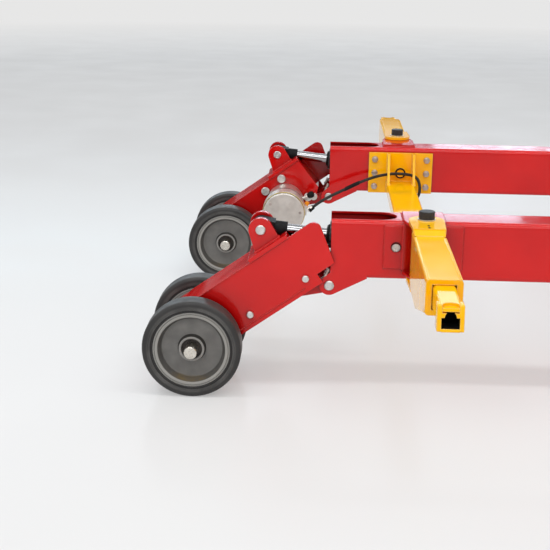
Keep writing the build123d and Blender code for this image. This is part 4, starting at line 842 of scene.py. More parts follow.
# %% [markdown]
# The yellow side arm is a square sleeve that hangs on a pin, with a bar that slides in it. Places on it
# are given from that pin. Blocks and socket screws turn up on many pieces from here on, so each gets a
# helper: a cube between two corners, and a turned head with a sunk drive.

# %% Helpers for the side arm
SIDE_REACH = 0.5805
SIDE_PIN_OUT = 0.103


def side_at(across, out, height):
    """A point on the side arm: across it, out from its pivot pin, and height."""
    return beam_at(SIDE_REACH + across, SIDE_PIN_OUT + out, height)


def cube_between(work, low, high):
    """A plain rectangular block between two corners; returns its vertices."""
    low, high = Vector(low), Vector(high)
    size = [abs(length) for length in high - low]
    place = Matrix.Translation((low + high) / 2.0) @ Matrix.Diagonal((*size, 1.0))
    return bmesh.ops.create_cube(work, size=1.0, matrix=place)["verts"]


def edges_of(verts):
    """The edges that meet at some vertices."""
    return list({edge for vert in verts for edge in vert.link_edges})


def block(work, low, high, soft=0.0004):
    """A rectangular block between two corners with softened edges."""
    soften(work, edges_of(cube_between(work, low, high)), soft, 2)


def socket_screw(work, centre, axis, head_r, head_h):
    """Round head with a softened rim and a sunk drive."""
    section = [
        (0.0, 0.35 * head_h), (0.45 * head_r, 0.35 * head_h), (0.5 * head_r, head_h),
        (0.86 * head_r, head_h), (head_r, 0.75 * head_h), (head_r, 0.0), (0.0, 0.0),
    ]
    lathe(work, section, centre, axis, steps=18)


print("side arm helpers ready")

# %% [markdown]
# Welds run along the sleeve's upper edges. A pivot lug lies on top, and its front edge comes down to the
# sleeve in a tapered toe, which is a cube with one edge pushed down. Inside the mouth a thin liner guides
# the bar, and two dark socket screws hold the lug's wear plate.

# %% Sleeve and pivot lug
SLEEVE_HALF, SLEEVE_TOP = 0.0395, 0.4595
EDGE_SPAN, EDGE_SINK, EDGE_WELD_R = (0.124, 0.478), 0.0006, 0.0022
LUG_TOP, LUG_END, LUG_TOE = 0.4729, 0.097, 0.118
TOE_WELD_R = 0.0020
RAMP_HALF, RAMP_LAP, RAMP_SINK = 0.0375, 0.006, 0.002
RAMP_EDGE, RAMP_SOFT = 0.0012, 0.0022
BORE_HALF, BORE_LOW, BORE_HIGH = 0.0265, 0.3926, 0.4488
LINER_T, LINER_SPAN = 0.0008, (0.478, 0.4912)
LUG_SCREWS = (0.0660, 0.0860)
LUG_SCREW_R, LUG_SCREW_H = 0.0034, 0.0012


def sleeve_welds():
    """Welds across the lug's toe and along the sleeve's upper edges."""
    work = bmesh.new()
    flank = SLEEVE_HALF - CORNER
    weld_run(work, side_at(-flank, LUG_TOE, SLEEVE_TOP), side_at(flank, LUG_TOE, SLEEVE_TOP), TOE_WELD_R)
    ridge = CORNER * (math.sqrt(0.5) - 1.0)
    for hand in (1, -1):
        across = hand * (SLEEVE_HALF + ridge)
        start, end = (side_at(across, out, SLEEVE_TOP + ridge - EDGE_SINK) for out in EDGE_SPAN)
        weld_run(work, start, end, EDGE_WELD_R)
    return work


def mouth_liner():
    """Thin walls at the sides and the top of the sleeve's mouth."""
    work = bmesh.new()
    inner, outer = LINER_SPAN
    for hand in (1, -1):
        low = side_at(hand * BORE_HALF, inner, BORE_LOW)
        block(work, low, side_at(hand * (BORE_HALF - LINER_T), outer, BORE_HIGH))
    block(work, side_at(-BORE_HALF, inner, BORE_HIGH - LINER_T), side_at(BORE_HALF, outer, BORE_HIGH))
    return work


def lug_screws():
    """Two socket screws on top of the lug."""
    work = bmesh.new()
    for out in LUG_SCREWS:
        socket_screw(work, side_at(0.0, out, LUG_TOP), UP, LUG_SCREW_R, LUG_SCREW_H)
    return work


def lug_ramp():
    """Tapered toe that carries the lug's front edge down to the sleeve."""
    work = bmesh.new()
    low = side_at(-RAMP_HALF, LUG_END - RAMP_LAP, SLEEVE_TOP - RAMP_SINK)
    high = side_at(RAMP_HALF, LUG_TOE, LUG_TOP)
    middle = (low + high) / 2.0
    corners = cube_between(work, low, high)
    toe = [vert for vert in corners if vert.co.z > middle.z and vert.co.y < middle.y]
    bmesh.ops.translate(work, vec=DOWN * (LUG_TOP - SLEEVE_TOP - RAMP_EDGE), verts=toe)
    soften(work, work.edges[:], RAMP_SOFT, 3)
    return work


on_both_sides("sleeve_welds", sleeve_welds, "yellow_paint", "sleeve_body")
on_both_sides("mouth_liner", mouth_liner, "yellow_paint", "sleeve_body")
on_both_sides("lug_screws", lug_screws, "black_steel", "sleeve_body")
on_both_sides("lug_ramp", lug_ramp, "yellow_paint", "sleeve_body")
print("sleeves and lugs detailed")

# %% [markdown]
# The bar ends in a block with a leaning face, a round notch on top and a socket, whose inside is darkened
# by black sheets as painted shade. The block's thick cheeks are cubes with the lower front edge pulled out,
# and the raised floor of the notch is a turned disc cut by the plane of the leaning face.

# %% Bar end
BAR_HALF, BAR_LOW, BAR_HIGH = 0.0275, 0.3935, 0.4462
BLOCK_SPAN, BLOCK_LIP, BLOCK_SOFT = (0.5950, 0.6273), 0.0096, 0.0014
BLOCK_LEAN = math.radians(10.489)
CHEEK_GAP = 0.0002
SADDLE_R, SADDLE_SPAN = 0.0169, (0.4332, 0.4412)
SADDLE_RIM, SADDLE_DROP = 0.003, 0.001
SOCKET_HALF, SOCKET_LOW, SOCKET_HIGH = 0.0185, 0.3990, 0.4210
SOCKET_BACK = 0.575
SOCKET_SHADOW_T, SOCKET_SHADOW_BACK_T = 0.0006, 0.0015
SOCKET_SHADOW_SOFT, SOCKET_SHADOW_GAP = 0.0002, 0.0002
SOCKET_SHADOW_WALL_END, SOCKET_SHADOW_FLOOR_END, SOCKET_SHADOW_BACK_TOP = 0.6310, 0.6340, 0.4400


def bar_cheeks():
    """Thicker walls of the bar's end block, with its leaning end."""
    work = bmesh.new()
    for hand in (1, -1):
        low = side_at(hand * BAR_HALF, BLOCK_SPAN[0], BAR_LOW)
        high = side_at(hand * (SOCKET_HALF + CHEEK_GAP), BLOCK_SPAN[1], BAR_HIGH)
        middle = (low + high) / 2.0
        corners = cube_between(work, low, high)
        foot = [vert for vert in corners if vert.co.z < middle.z and vert.co.y < middle.y]
        bmesh.ops.translate(work, vec=OUTBOARD * BLOCK_LIP, verts=foot)
    soften(work, work.edges[:], BLOCK_SOFT, 3)
    return work


def saddle_floor():
    """Half disc that raises the floor of the notch in the bar's end."""
    work = bmesh.new()
    low, high = SADDLE_SPAN
    dip = high - SADDLE_DROP
    section = [(0.0, low), (SADDLE_R, low), (SADDLE_R, high), (SADDLE_R - SADDLE_RIM, dip), (0.0, dip)]
    lathe(work, section, side_at(0.0, BLOCK_SPAN[1], 0.0), UP, steps=40)
    lean = OUTBOARD * math.cos(BLOCK_LEAN) + UP * math.sin(BLOCK_LEAN)
    bmesh.ops.bisect_plane(
        work, geom=work.verts[:] + work.edges[:] + work.faces[:],
        plane_co=side_at(0.0, BLOCK_SPAN[1], BAR_HIGH), plane_no=lean, clear_outer=True,
    )
    bmesh.ops.holes_fill(work, edges=work.edges[:], sides=0)
    return work


def socket_shadow_sheets():
    """Black sheets inside the bar's socket as painted shade: two walls, a floor and a back."""
    work = bmesh.new()
    for hand in (1, -1):
        wall = side_at(hand * (SOCKET_HALF - SOCKET_SHADOW_T), SOCKET_SHADOW_WALL_END, SOCKET_HIGH - SOCKET_SHADOW_GAP)
        block(work, side_at(hand * SOCKET_HALF, SOCKET_BACK, SOCKET_LOW), wall, SOCKET_SHADOW_SOFT)
    corner = side_at(-SOCKET_HALF, SOCKET_BACK, SOCKET_LOW)
    block(work, corner, side_at(SOCKET_HALF, SOCKET_SHADOW_FLOOR_END, SOCKET_LOW + SOCKET_SHADOW_T), SOCKET_SHADOW_SOFT)
    block(work, corner, side_at(SOCKET_HALF, SOCKET_BACK + SOCKET_SHADOW_BACK_T, SOCKET_SHADOW_BACK_TOP), SOCKET_SHADOW_SOFT)
    return work


on_both_sides("bar_cheeks", bar_cheeks, "yellow_paint", "bar_body")
on_both_sides("saddle_floor", saddle_floor, "yellow_paint", "bar_body")
# The socket's black sheets are painted shade.
on_both_sides("socket_shadow_sheets", socket_shadow_sheets, "black_plastic", "bar_body")
print("bar ends detailed")

# %% [markdown]
# The cross tube is bolted between the beams. Its end plates carry six hex bolts with washers, and a
# rubber grommet lines the cable hole, which a yellow cap closes. The tube and the gussets are welded to
# the plates.

# %% Cross tube fittings
CROSS_REACH = 0.586
PLATE_FACE, PLATE_MID_Z = -0.067, 0.3725
BOLT_ACROSS, BOLT_RISE = 0.087, 0.046
PLATE_WASHER = (0.0070, 0.0104, 0.0016)
HEX_H = 0.008
TUBE_HALF_W = 0.046
TUBE_LOW, TUBE_HIGH = 0.309, 0.345
TUBE_WELD_R, GUSSET_WELD_R = 0.0030, 0.0026
GUSSET_FACES = (0.540, 0.548, 0.624, 0.632)
GUSSET_TOP_Z, GUSSET_FOOT = 0.437, 0.075


def washer(work, centre, axis, bore, rim, thick):
    """Flat ring with a turned edge."""
    section = [(bore, 0.0), (rim, 0.0), (rim, 0.7 * thick), (rim - 0.3 * thick, thick), (bore, thick)]
    lathe(work, section, centre, axis, steps=28)


def plate_washers():
    """Washers under the plate's bolts and turned crowns on their heads."""
    work = bmesh.new()
    crown = [(0.0, HEX_H + 0.0006), (0.0078, HEX_H + 0.0006), (0.0090, HEX_H), (0.0, HEX_H - 0.001)]
    for across in (-BOLT_ACROSS, BOLT_ACROSS):
        for rise in (-BOLT_RISE, 0.0, BOLT_RISE):
            centre = beam_at(CROSS_REACH + across, PLATE_FACE, PLATE_MID_Z + rise)
            washer(work, centre, INBOARD, *PLATE_WASHER)
            lathe(work, crown, centre, INBOARD, steps=24)
    return work


def plate_grommet():
    """Rubber ring round the plate's cable hole."""
    section = [
        (0.0128, 0.0), (0.0128, 0.0040), (0.0140, 0.0056), (0.0164, 0.0056), (0.0178, 0.0040),
        (0.0178, 0.0),
    ]
    return lathe(bmesh.new(), section, beam_at(CROSS_REACH, PLATE_FACE, PLATE_MID_Z), INBOARD, steps=40)


def plate_cap():
    """Low yellow cap inside the grommet."""
    section = [(0.0, 0.0022), (0.0124, 0.0022), (0.0132, 0.0014), (0.0132, -0.0010), (0.0, -0.0010)]
    return lathe(bmesh.new(), section, beam_at(CROSS_REACH, PLATE_FACE, PLATE_MID_Z), INBOARD, steps=40)


def tube_welds():
    """Welds of the tube and the gussets on the end plate."""
    work = bmesh.new()
    for across in (-TUBE_HALF_W, TUBE_HALF_W):
        start, end = (beam_at(CROSS_REACH + across, PLATE_FACE, height) for height in (TUBE_LOW, TUBE_HIGH))
        weld_run(work, start, end, TUBE_WELD_R)
    for face in GUSSET_FACES:
        foot = beam_at(face, PLATE_FACE, TUBE_HIGH)
        weld_run(work, foot, beam_at(face, PLATE_FACE, GUSSET_TOP_Z), GUSSET_WELD_R)
        weld_run(work, foot, beam_at(face, PLATE_FACE - GUSSET_FOOT, TUBE_HIGH), GUSSET_WELD_R)
    return work


on_both_sides("plate_washers", plate_washers, "zinc_steel", "frame", bolt_zinc)
on_both_sides("plate_grommet", plate_grommet, "black_plastic", "frame")
on_both_sides("plate_cap", plate_cap, "yellow_paint", "frame")
on_both_sides("tube_welds", tube_welds, "yellow_paint", "frame")
print("cross tube fitted")

# %% [markdown]
# The drive motor is a die-cast drum with a brass-coloured ring behind its end face, dark gaskets at its
# joints and three screws in the face. All of it swings with the wheel arm. Places on a drum are easiest
# to give by angle and radius.

# %% Motor face
MOTOR_ALONG, MOTOR_SQUARE = 0.242, -0.003
MOTOR_FACE_OUT, MOTOR_STEP_OUT, MOTOR_CASE_OUT = -0.260, -0.245, -0.1862
MOTOR_SCREW_PITCH_R, MOTOR_SCREW_R, MOTOR_SCREW_H = 0.054, 0.0048, 0.0026
MOTOR_SCREW_ANGLES = (145.0, 5.0, 255.0)
GASKETS = ((MOTOR_STEP_OUT - 0.0034, 0.0676), (MOTOR_CASE_OUT, 0.0706))
GASKET_W, GASKET_T = 0.003, 0.0016


def motor_at(angle, radius, out):
    """A point on the motor by its angle from forward, its radius and its place out."""
    centre = arm_at(MOTOR_ALONG, MOTOR_SQUARE, out)
    return centre + Vector((radius * math.cos(angle), 0.0, radius * math.sin(angle)))


def motor_ring():
    """Brass-coloured ring behind the end face."""
    section = [(0.0655, -0.0005), (0.0692, -0.0005), (0.0692, 0.0022), (0.0684, 0.0032), (0.0655, 0.0032)]
    return lathe(bmesh.new(), section, motor_at(0.0, 0.0, MOTOR_STEP_OUT), INBOARD, steps=72)


def motor_gaskets():
    """Dark lines at the drum's two joints."""
    work = bmesh.new()
    for out, rim in GASKETS:
        section = [(rim - GASKET_W, 0.0), (rim, 0.0), (rim, GASKET_T), (rim - GASKET_W, GASKET_T)]
        lathe(work, section, motor_at(0.0, 0.0, out), INBOARD, steps=72)
    return work


def motor_screws():
    """Three socket screws in the end face."""
    work = bmesh.new()
    for angle in MOTOR_SCREW_ANGLES:
        spot = motor_at(math.radians(angle), MOTOR_SCREW_PITCH_R, MOTOR_FACE_OUT)
        socket_screw(work, spot, INBOARD, MOTOR_SCREW_R, MOTOR_SCREW_H)
    return work


on_both_sides("motor_ring", motor_ring, "motor_alloy", "arm_body", brass)
on_both_sides("motor_gaskets", motor_gaskets, "black_plastic", "arm_body")
on_both_sides("motor_screws", motor_screws, "dark_steel", "arm_body", bolt_zinc)
print("motor faces fitted")

# %% [markdown]
# Nuts and bolts turn up on every part of the cart. A hex head is turned before its flats are cut, so here
# it is a six-sided cone of even radius with softened edges and a turned crown. Some stand at an angle,
# which is given from forward, in the upright plane of the arm.

# %% Helpers for hex heads and leaning pieces
def leaning(angle):
    """A direction in the upright plane of the arm, at an angle above forward."""
    return Vector((math.cos(angle), 0.0, math.sin(angle)))


def hex_bolt(work, centre, axis, across, height):
    """Hexagon head with a turned crown."""
    centre, axis = Vector(centre), Vector(axis)
    heading = axis.to_track_quat("Z", "Y").to_matrix().to_4x4()
    made = bmesh.ops.create_cone(
        work, cap_ends=True, segments=6, radius1=across, radius2=across, depth=height,
        matrix=Matrix.Translation(centre + axis * height / 2.0) @ heading,
    )
    soften(work, edges_of(made["verts"]), 0.08 * across, 2)
    crown = [
        (0.0, height + 0.0005), (0.70 * across, height + 0.0005), (0.84 * across, height - 0.0004),
        (0.0, height - 0.0004),
    ]
    lathe(work, crown, centre, axis, steps=18)


print("hex helpers ready")

# %% [markdown]
# Beside the motor sit a brake release with a black knob, an orange test plug, the gland that holds the
# cable and a bolt that tensions the chain. The gland takes its place and direction from the cable's first
# two points.

# %% Motor side fittings
KNOB_AT, KNOB_LEAN = (0.2858, -0.140, 0.3057), math.radians(25.0)
PLUG_AT, PLUG_LEAN = (0.2715, -0.178, 0.2805), math.radians(56.0)
GLAND_NUT_BACK, GLAND_NUT_R, GLAND_NUT_H = 0.0150, 0.0104, 0.0085
TENSION_BOLT_AT = (0.331, -0.043)
TENSION_WASHER = (0.0060, 0.0125, 0.0022)
TENSION_BOLT_R, TENSION_BOLT_H = 0.0098, 0.0085


def brake_knob():
    """Round black knob of the brake release."""
    section = [
        (0.0, -0.0130), (0.0046, -0.0130), (0.0085, -0.0110), (0.0112, -0.0030), (0.0112, 0.0030),
        (0.0092, 0.0085), (0.0046, 0.0108), (0.0, 0.0112),
    ]
    return lathe(bmesh.new(), section, beam_at(*KNOB_AT), leaning(KNOB_LEAN), steps=24)


def test_plug():
    """Short orange plug with a softened end."""
    section = [
        (0.0, -0.004), (0.0075, -0.004), (0.0075, 0.006), (0.0064, 0.0095), (0.0050, 0.0105), (0.0, 0.0105),
    ]
    return lathe(bmesh.new(), section, beam_at(*PLUG_AT), leaning(PLUG_LEAN), steps=24)


def cable_gland():
    """Gland and its nut where the cable leaves the motor."""
    work = bmesh.new()
    mouth, beyond = (beam_at(reach, -inboard, height) for reach, inboard, height in CABLE_ROUTE[:2])
    heading = (beyond - mouth).normalized()
    section = [
        (0.0054, 0.0050), (0.0064, 0.0056), (0.0080, 0.0036), (0.0086, -0.0010), (0.0086, -0.0060),
        (0.0078, -0.0068), (0.0054, -0.0068),
    ]
    lathe(work, section, mouth, heading, steps=24)
    hex_bolt(work, mouth - heading * GLAND_NUT_BACK, heading, GLAND_NUT_R, GLAND_NUT_H)
    return work


def tension_bolt():
    """Bolt and washer on the arm's inboard face."""
    work = bmesh.new()
    centre = arm_at(*TENSION_BOLT_AT, -ARM_HALF)
    washer(work, centre, INBOARD, *TENSION_WASHER)
    hex_bolt(work, centre, INBOARD, TENSION_BOLT_R, TENSION_BOLT_H)
    return work


on_both_sides("brake_knob", brake_knob, "black_plastic", "arm_body")
on_both_sides("test_plug", test_plug, "black_plastic", "arm_body", plug_plastic)
on_both_sides("cable_gland", cable_gland, "black_plastic", "arm_body")
on_both_sides("tension_bolt", tension_bolt, "zinc_steel", "arm_body")
print("motor side fittings placed")

# %% [markdown]
# On the hinge lugs stand plated stop screws with lock nuts, just behind the beam's open end. A screw
# thread is a helix, but at this size rings look the same and a lathe makes them in one spin.

# %% Stop screws
STOP_REACH, STOP_OUT, STOP_Z = 0.3330, 0.0512, 0.3015
STOP_LEAN = math.radians(68.0)
STOP_R, STOP_PITCH, STOP_THREADS = 0.0052, 0.0025, 11
LOCK_NUT_UP, LOCK_NUT_R, LOCK_NUT_H = 0.0050, 0.0066, 0.0055


def stop_screws():
    """Threaded stop screws with lock nuts, standing on the hinge lugs."""
    work = bmesh.new()
    heading = leaning(STOP_LEAN)
    thread = [(0.0, 0.0)]
    for turn in range(STOP_THREADS):
        start = STOP_PITCH * turn
        thread += [(STOP_R, start), (STOP_R, start + 0.4 * STOP_PITCH)]
        thread += [(0.84 * STOP_R, start + 0.7 * STOP_PITCH)]
    thread += [(0.7 * STOP_R, STOP_PITCH * STOP_THREADS), (0.0, STOP_PITCH * STOP_THREADS)]
    for hand in (1, -1):
        foot = beam_at(STOP_REACH, hand * STOP_OUT, STOP_Z)
        lathe(work, thread, foot, heading, steps=20)
        hex_bolt(work, foot + heading * LOCK_NUT_UP, heading, LOCK_NUT_R, LOCK_NUT_H)
    return work


on_both_sides("stop_screws", stop_screws, "zinc_steel", "frame", bolt_zinc)
print("stop screws set")

# %% [markdown]
# The ends of the pins get retaining rings and centre marks. Round the cylinder's base pin lies a dark ring
# of painted shade, standing for a slotted hole: it starts as a turned ring, whose outer edge is then
# lifted, so that it is widest above the pin.

# %% Pin ends
HINGE_REACH, HINGE_Z = 0.345, 0.283
CLEVIS_AT = (0.3067, 0.1424)
BASE_PIN_REACH, BASE_PIN_Z, BASE_PIN_R = 0.511, 0.388, 0.0100
PIN_RING_R = 0.0109
PIN_PROUD = 0.003
HOLE_SHADOW_IN, HOLE_SHADOW_OUT, HOLE_SHADOW_LIFT = 0.0108, 0.0134, 0.0024
HOLE_SHADOW_PROUD, HOLE_SHADOW_SINK = 0.0003, 0.0008
BOTH_WAYS = ((1, OUTBOARD), (-1, INBOARD))

# Painted shadow: a dark, dull red for the ring round the base pin.
pin_shadow_paint, tree, shader = new_finish("pin_shadow_paint", (0.07, 0.002, 0.002), specular=0.2)
shader.inputs["Roughness"].default_value = 0.55


def pin_face(work, centre, axis, rim):
    """Retaining ring and centre mark on the end of a pin."""
    ring = [(0.86 * rim, 0.0), (0.98 * rim, 0.0), (0.96 * rim, 0.0009), (0.88 * rim, 0.0009)]
    mark = [(0.0, -0.0004), (0.0014, 0.0004), (0.0022, 0.0006), (0.0028, 0.0), (0.0, -0.001)]
    lathe(work, ring, centre, axis, steps=32)
    lathe(work, mark, centre, axis, steps=16)


def frame_pin_faces():
    """Faces of the hinge pin and of the cylinder's base pin."""
    work = bmesh.new()
    for hand, axis in BOTH_WAYS:
        centre = beam_at(HINGE_REACH, hand * (HALF_BEAM + PIN_PROUD), HINGE_Z)
        pin_face(work, centre, axis, PIN_RING_R)
    sunk = HALF_BEAM + DOUBLER_T - PIN_PROUD
    pin_face(work, beam_at(BASE_PIN_REACH, sunk, BASE_PIN_Z), OUTBOARD, BASE_PIN_R)
    return work


def pin_hole_shadow():
    """Dark ring of painted shade round the cylinder's base pin, for a slotted hole, widest above the pin.
    """
    centre = beam_at(BASE_PIN_REACH, HALF_BEAM + DOUBLER_T, BASE_PIN_Z)
    section = [(HOLE_SHADOW_IN, HOLE_SHADOW_PROUD), (HOLE_SHADOW_OUT, HOLE_SHADOW_PROUD), (HOLE_SHADOW_OUT, -HOLE_SHADOW_SINK), (HOLE_SHADOW_IN, -HOLE_SHADOW_SINK)]
    work = lathe(bmesh.new(), section, centre, OUTBOARD)
    middle = (HOLE_SHADOW_IN + HOLE_SHADOW_OUT) / 2.0
    rim = [vert for vert in work.verts if (vert.co - centre).xz.length > middle]
    bmesh.ops.translate(work, vec=UP * HOLE_SHADOW_LIFT, verts=rim)
    return work


def arm_pin_faces():
    """Faces of the clevis pin."""
    work = bmesh.new()
    for hand, axis in BOTH_WAYS:
        pin_face(work, arm_at(*CLEVIS_AT, hand * (EAR_OUT[0] + PIN_PROUD)), axis, PIN_RING_R)
    return work


on_both_sides("frame_pin_faces", frame_pin_faces, "zinc_steel", "frame")
on_both_sides("pin_hole_shadow", pin_hole_shadow, "red_paint", "frame", pin_shadow_paint)
on_both_sides("arm_pin_faces", arm_pin_faces, "zinc_steel", "arm_body")
print("pin ends detailed")

# %% [markdown]
# The axle's ends wear low turned caps with a centre mark. The lift cylinder gets a rod wiper, which lies
# on the line between the cylinder's two pins.

# %% Axle caps and rod wiper
AXLE_END, AXLE_CAP_R, AXLE_CAP_L = 0.1665, 0.0163, 0.0120


def axle_caps():
    """Turned caps with a centre mark on both ends of the axle."""
    work = bmesh.new()
    cap = [
        (0.0, 0.0006), (0.9 * AXLE_CAP_R, 0.0006), (AXLE_CAP_R, -0.0010), (AXLE_CAP_R, -AXLE_CAP_L),
        (0.0, -AXLE_CAP_L),
    ]
    mark = [(0.0, 0.0002), (0.0010, 0.0008), (0.0018, 0.0009), (0.0022, 0.0004), (0.0, 0.0001)]
    for hand, axis in BOTH_WAYS:
        end = beam_at(0.0, hand * AXLE_END, AXLE_Z)
        lathe(work, cap, end, axis, steps=40)
        lathe(work, mark, end, axis, steps=16)
    return work


def rod_wiper():
    """Collar at the cylinder's mouth that wipes the rod."""
    base = beam_at(BASE_PIN_REACH, 0.0, BASE_PIN_Z)
    heading = (arm_at(*CLEVIS_AT, 0.0) - base).normalized()
    section = [(0.0153, 0.1690), (0.0260, 0.1690), (0.0260, 0.1730), (0.0225, 0.1760), (0.0153, 0.1775)]
    return lathe(bmesh.new(), section, base, heading, steps=40)


on_both_sides("axle_caps", axle_caps, "axle_steel", "wheel_body")
on_both_sides("rod_wiper", rod_wiper, "black_plastic", "barrel_body")
print("axles and cylinders detailed")

# %% [markdown]
# The front end is out of the photograph, so it follows common practice. Swivel casters are held by four
# bolts, and their axles by nuts. The front cross beam and the tow lugs are welded to the frame.

# %% Casters and front welds
FRONT_REACH, FRONT_REAR = 2.147, 2.033
CASTER_REACH = 2.072
CASTER_PLATE_Z, CASTER_PLATE_HALF = 0.294, 0.054
CASTER_BOLT, CASTER_BOLT_R, CASTER_BOLT_H = 0.040, 0.0085, 0.0075
CASTER_WASHER = (0.0050, 0.0105, 0.0018)
FORK_FACE = 0.039
FORK_NUT_R, FORK_NUT_H = 0.0145, 0.0110
FORK_WASHER = (0.0085, 0.0180, 0.0025)
ROLLER_REACH, ROLLER_Z = 2.030, 0.100
TOW_LUG_FACES = (0.048, 0.036)
TOW_LUG_FOOT, TOW_LUG_RISE = 0.328, 0.104


def caster_bolts():
    """Four bolts with washers under each caster's plate."""
    work = bmesh.new()
    for across in (-CASTER_BOLT, CASTER_BOLT):
        for out in (-CASTER_BOLT, CASTER_BOLT):
            centre = beam_at(CASTER_REACH + across, out, CASTER_PLATE_Z)
            washer(work, centre, DOWN, *CASTER_WASHER)
            hex_bolt(work, centre, DOWN, CASTER_BOLT_R, CASTER_BOLT_H)
    return work


def fork_nuts():
    """Nuts and washers on both ends of the caster's axle."""
    work = bmesh.new()
    for hand, axis in BOTH_WAYS:
        centre = beam_at(ROLLER_REACH, hand * FORK_FACE, ROLLER_Z)
        washer(work, centre, axis, *FORK_WASHER)
        hex_bolt(work, centre, axis, FORK_NUT_R, FORK_NUT_H)
    return work


def front_welds():
    """Welds of the front beam, the caster's plate and the tow lugs."""
    work = bmesh.new()
    outline = [
        (FRONT_REACH - CORNER, BEAM_TOP), (FRONT_REAR + CORNER, BEAM_TOP), (FRONT_REAR, BEAM_TOP - CORNER),
        (FRONT_REAR, BEAM_BOTTOM + CORNER), (FRONT_REAR + CORNER, BEAM_BOTTOM),
        (FRONT_REACH - CORNER, BEAM_BOTTOM),
    ]
    weld_path(work, [beam_at(reach, -HALF_BEAM, height) for reach, height in outline])
    half = CASTER_PLATE_HALF
    corners = []
    for across, out in ((-half, -half), (half, -half), (half, half), (-half, half)):
        corners.append(beam_at(CASTER_REACH + across, out, BEAM_BOTTOM))
    weld_path(work, corners, closed=True)
    for face in TOW_LUG_FACES:
        foot = Vector((AXLE_X + FRONT_REACH, -face, TOW_LUG_FOOT))
        weld_run(work, foot, foot + UP * TOW_LUG_RISE)
    return work


on_both_sides("caster_bolts", caster_bolts, "zinc_steel", "frame")
on_both_sides("fork_nuts", fork_nuts, "zinc_steel", "fork_body")
on_both_sides("front_welds", front_welds, "red_paint", "frame")
print("casters and front welds done")

# %% [markdown]
# The power case is a sheet-metal box with a lid. Toggle latches hold the lid at the rear, a barrel hinge
# carries it at the front, and louvres cool the pump. Softened blocks and turned bars are enough for all
# three, each placed from a point on the wall.

# %% Power case latches, hinge and louvres
case_low, case_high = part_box("power_case")
lid_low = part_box("case_lid")[0]
CASE_FRONT = AXLE_X + FRONT_REACH
LATCH_Y = (-0.16, 0.16)
LATCH_PIN_R, LATCH_PIN_HALF = 0.0035, 0.017
HINGE_Y = (-0.05, 0.05, 0.19)
HINGE_R, HINGE_HALF = 0.0044, 0.028
HINGE_SCREW_R, HINGE_SCREW_H = 0.0040, 0.0020
LOUVRES, LOUVRE_PITCH, LOUVRE_FOOT = 5, 0.022, 0.055


def round_bar(work, centre, axis, radius, half, steps):
    """Plain turned bar that reaches half its length each way from its centre."""
    lathe(work, [(0.0, -half), (radius, -half), (radius, half), (0.0, half)], centre, axis, steps)


def case_latches():
    """Toggle latches: a base plate, the toggle, its hook and a pivot pin."""
    work = bmesh.new()
    for y in LATCH_Y:
        wall = Vector((case_low.x, y, lid_low.z))
        block(work, wall + Vector((-0.0030, -0.020, -0.060)), wall + Vector((0.0, 0.020, -0.012)), 0.001)
        block(work, wall + Vector((-0.0090, -0.013, -0.052)), wall + Vector((-0.0030, 0.013, 0.004)), 0.002)
        block(work, wall + Vector((-0.0075, -0.016, 0.006)), wall + Vector((-0.0034, 0.016, 0.016)), 0.001)
        pivot = wall + Vector((-0.0065, 0.0, -0.044))
        round_bar(work, pivot, INBOARD, LATCH_PIN_R, LATCH_PIN_HALF, 16)
    return work


def case_hinge():
    """Barrel hinges, each with a leaf and two screws."""
    work = bmesh.new()
    for y in HINGE_Y:
        wall = Vector((CASE_FRONT, y, lid_low.z))
        round_bar(work, wall + Vector((0.0050, 0.0, -0.006)), INBOARD, HINGE_R, HINGE_HALF, 20)
        block(work, wall + Vector((0.0, -0.026, -0.038)), wall + Vector((0.0022, 0.026, -0.006)), 0.0006)
        for shift in (-0.016, 0.016):
            spot = wall + Vector((0.0022, shift, -0.026))
            socket_screw(work, spot, FORWARD, HINGE_SCREW_R, HINGE_SCREW_H)
    return work


def case_louvres():
    """A column of louvres on the case's rear wall."""
    work = bmesh.new()
    for row in range(LOUVRES):
        wall = Vector((case_low.x, 0.0, case_low.z + LOUVRE_FOOT + LOUVRE_PITCH * row))
        block(work, wall + Vector((-0.0045, -0.075, 0.0)), wall + Vector((0.0, 0.075, 0.009)), 0.003)
    return work


piece("case_latches", case_latches(), finishes["zinc_steel"], "frame")
piece("case_hinge", case_hinge(), finishes["zinc_steel"], "frame")
piece("case_louvres", case_louvres(), finishes["case_paint"], "frame")
print("power case fitted")

# %% [markdown]
# Bent-rod handles at both ends lift the case out. A curve with a round bevel could make one, but bmesh
# can bend a rod as a fitter does: a ring of points is extruded along each straight and spun round each
# bend, and washers cover the holes in the wall.

# %% Case handles
HANDLE_R, HANDLE_BEND = 0.006, 0.018
HANDLE_LEG, HANDLE_SPAN = 0.020, 0.130
HANDLE_REACH, HANDLE_Z = 0.210, 0.585
HANDLE_WASHER = (0.005, 0.0140, 0.0030)


def push(work, rim, offset):
    """Extrudes an open rim by an offset; returns the new rim."""
    made = bmesh.ops.extrude_edge_only(work, edges=rim)["geom"]
    moved = [part for part in made if isinstance(part, bmesh.types.BMVert)]
    bmesh.ops.translate(work, vec=offset, verts=moved)
    return [part for part in made if isinstance(part, bmesh.types.BMEdge)]


def bend(work, rim, centre, angle):
    """Spins an open rim round an upright axis; returns the new rim."""
    verts = list({vert for edge in rim for vert in edge.verts})
    made = bmesh.ops.spin(work, geom=verts + rim, cent=centre, axis=UP, angle=angle, steps=6)["geom_last"]
    return [part for part in made if isinstance(part, bmesh.types.BMEdge)]


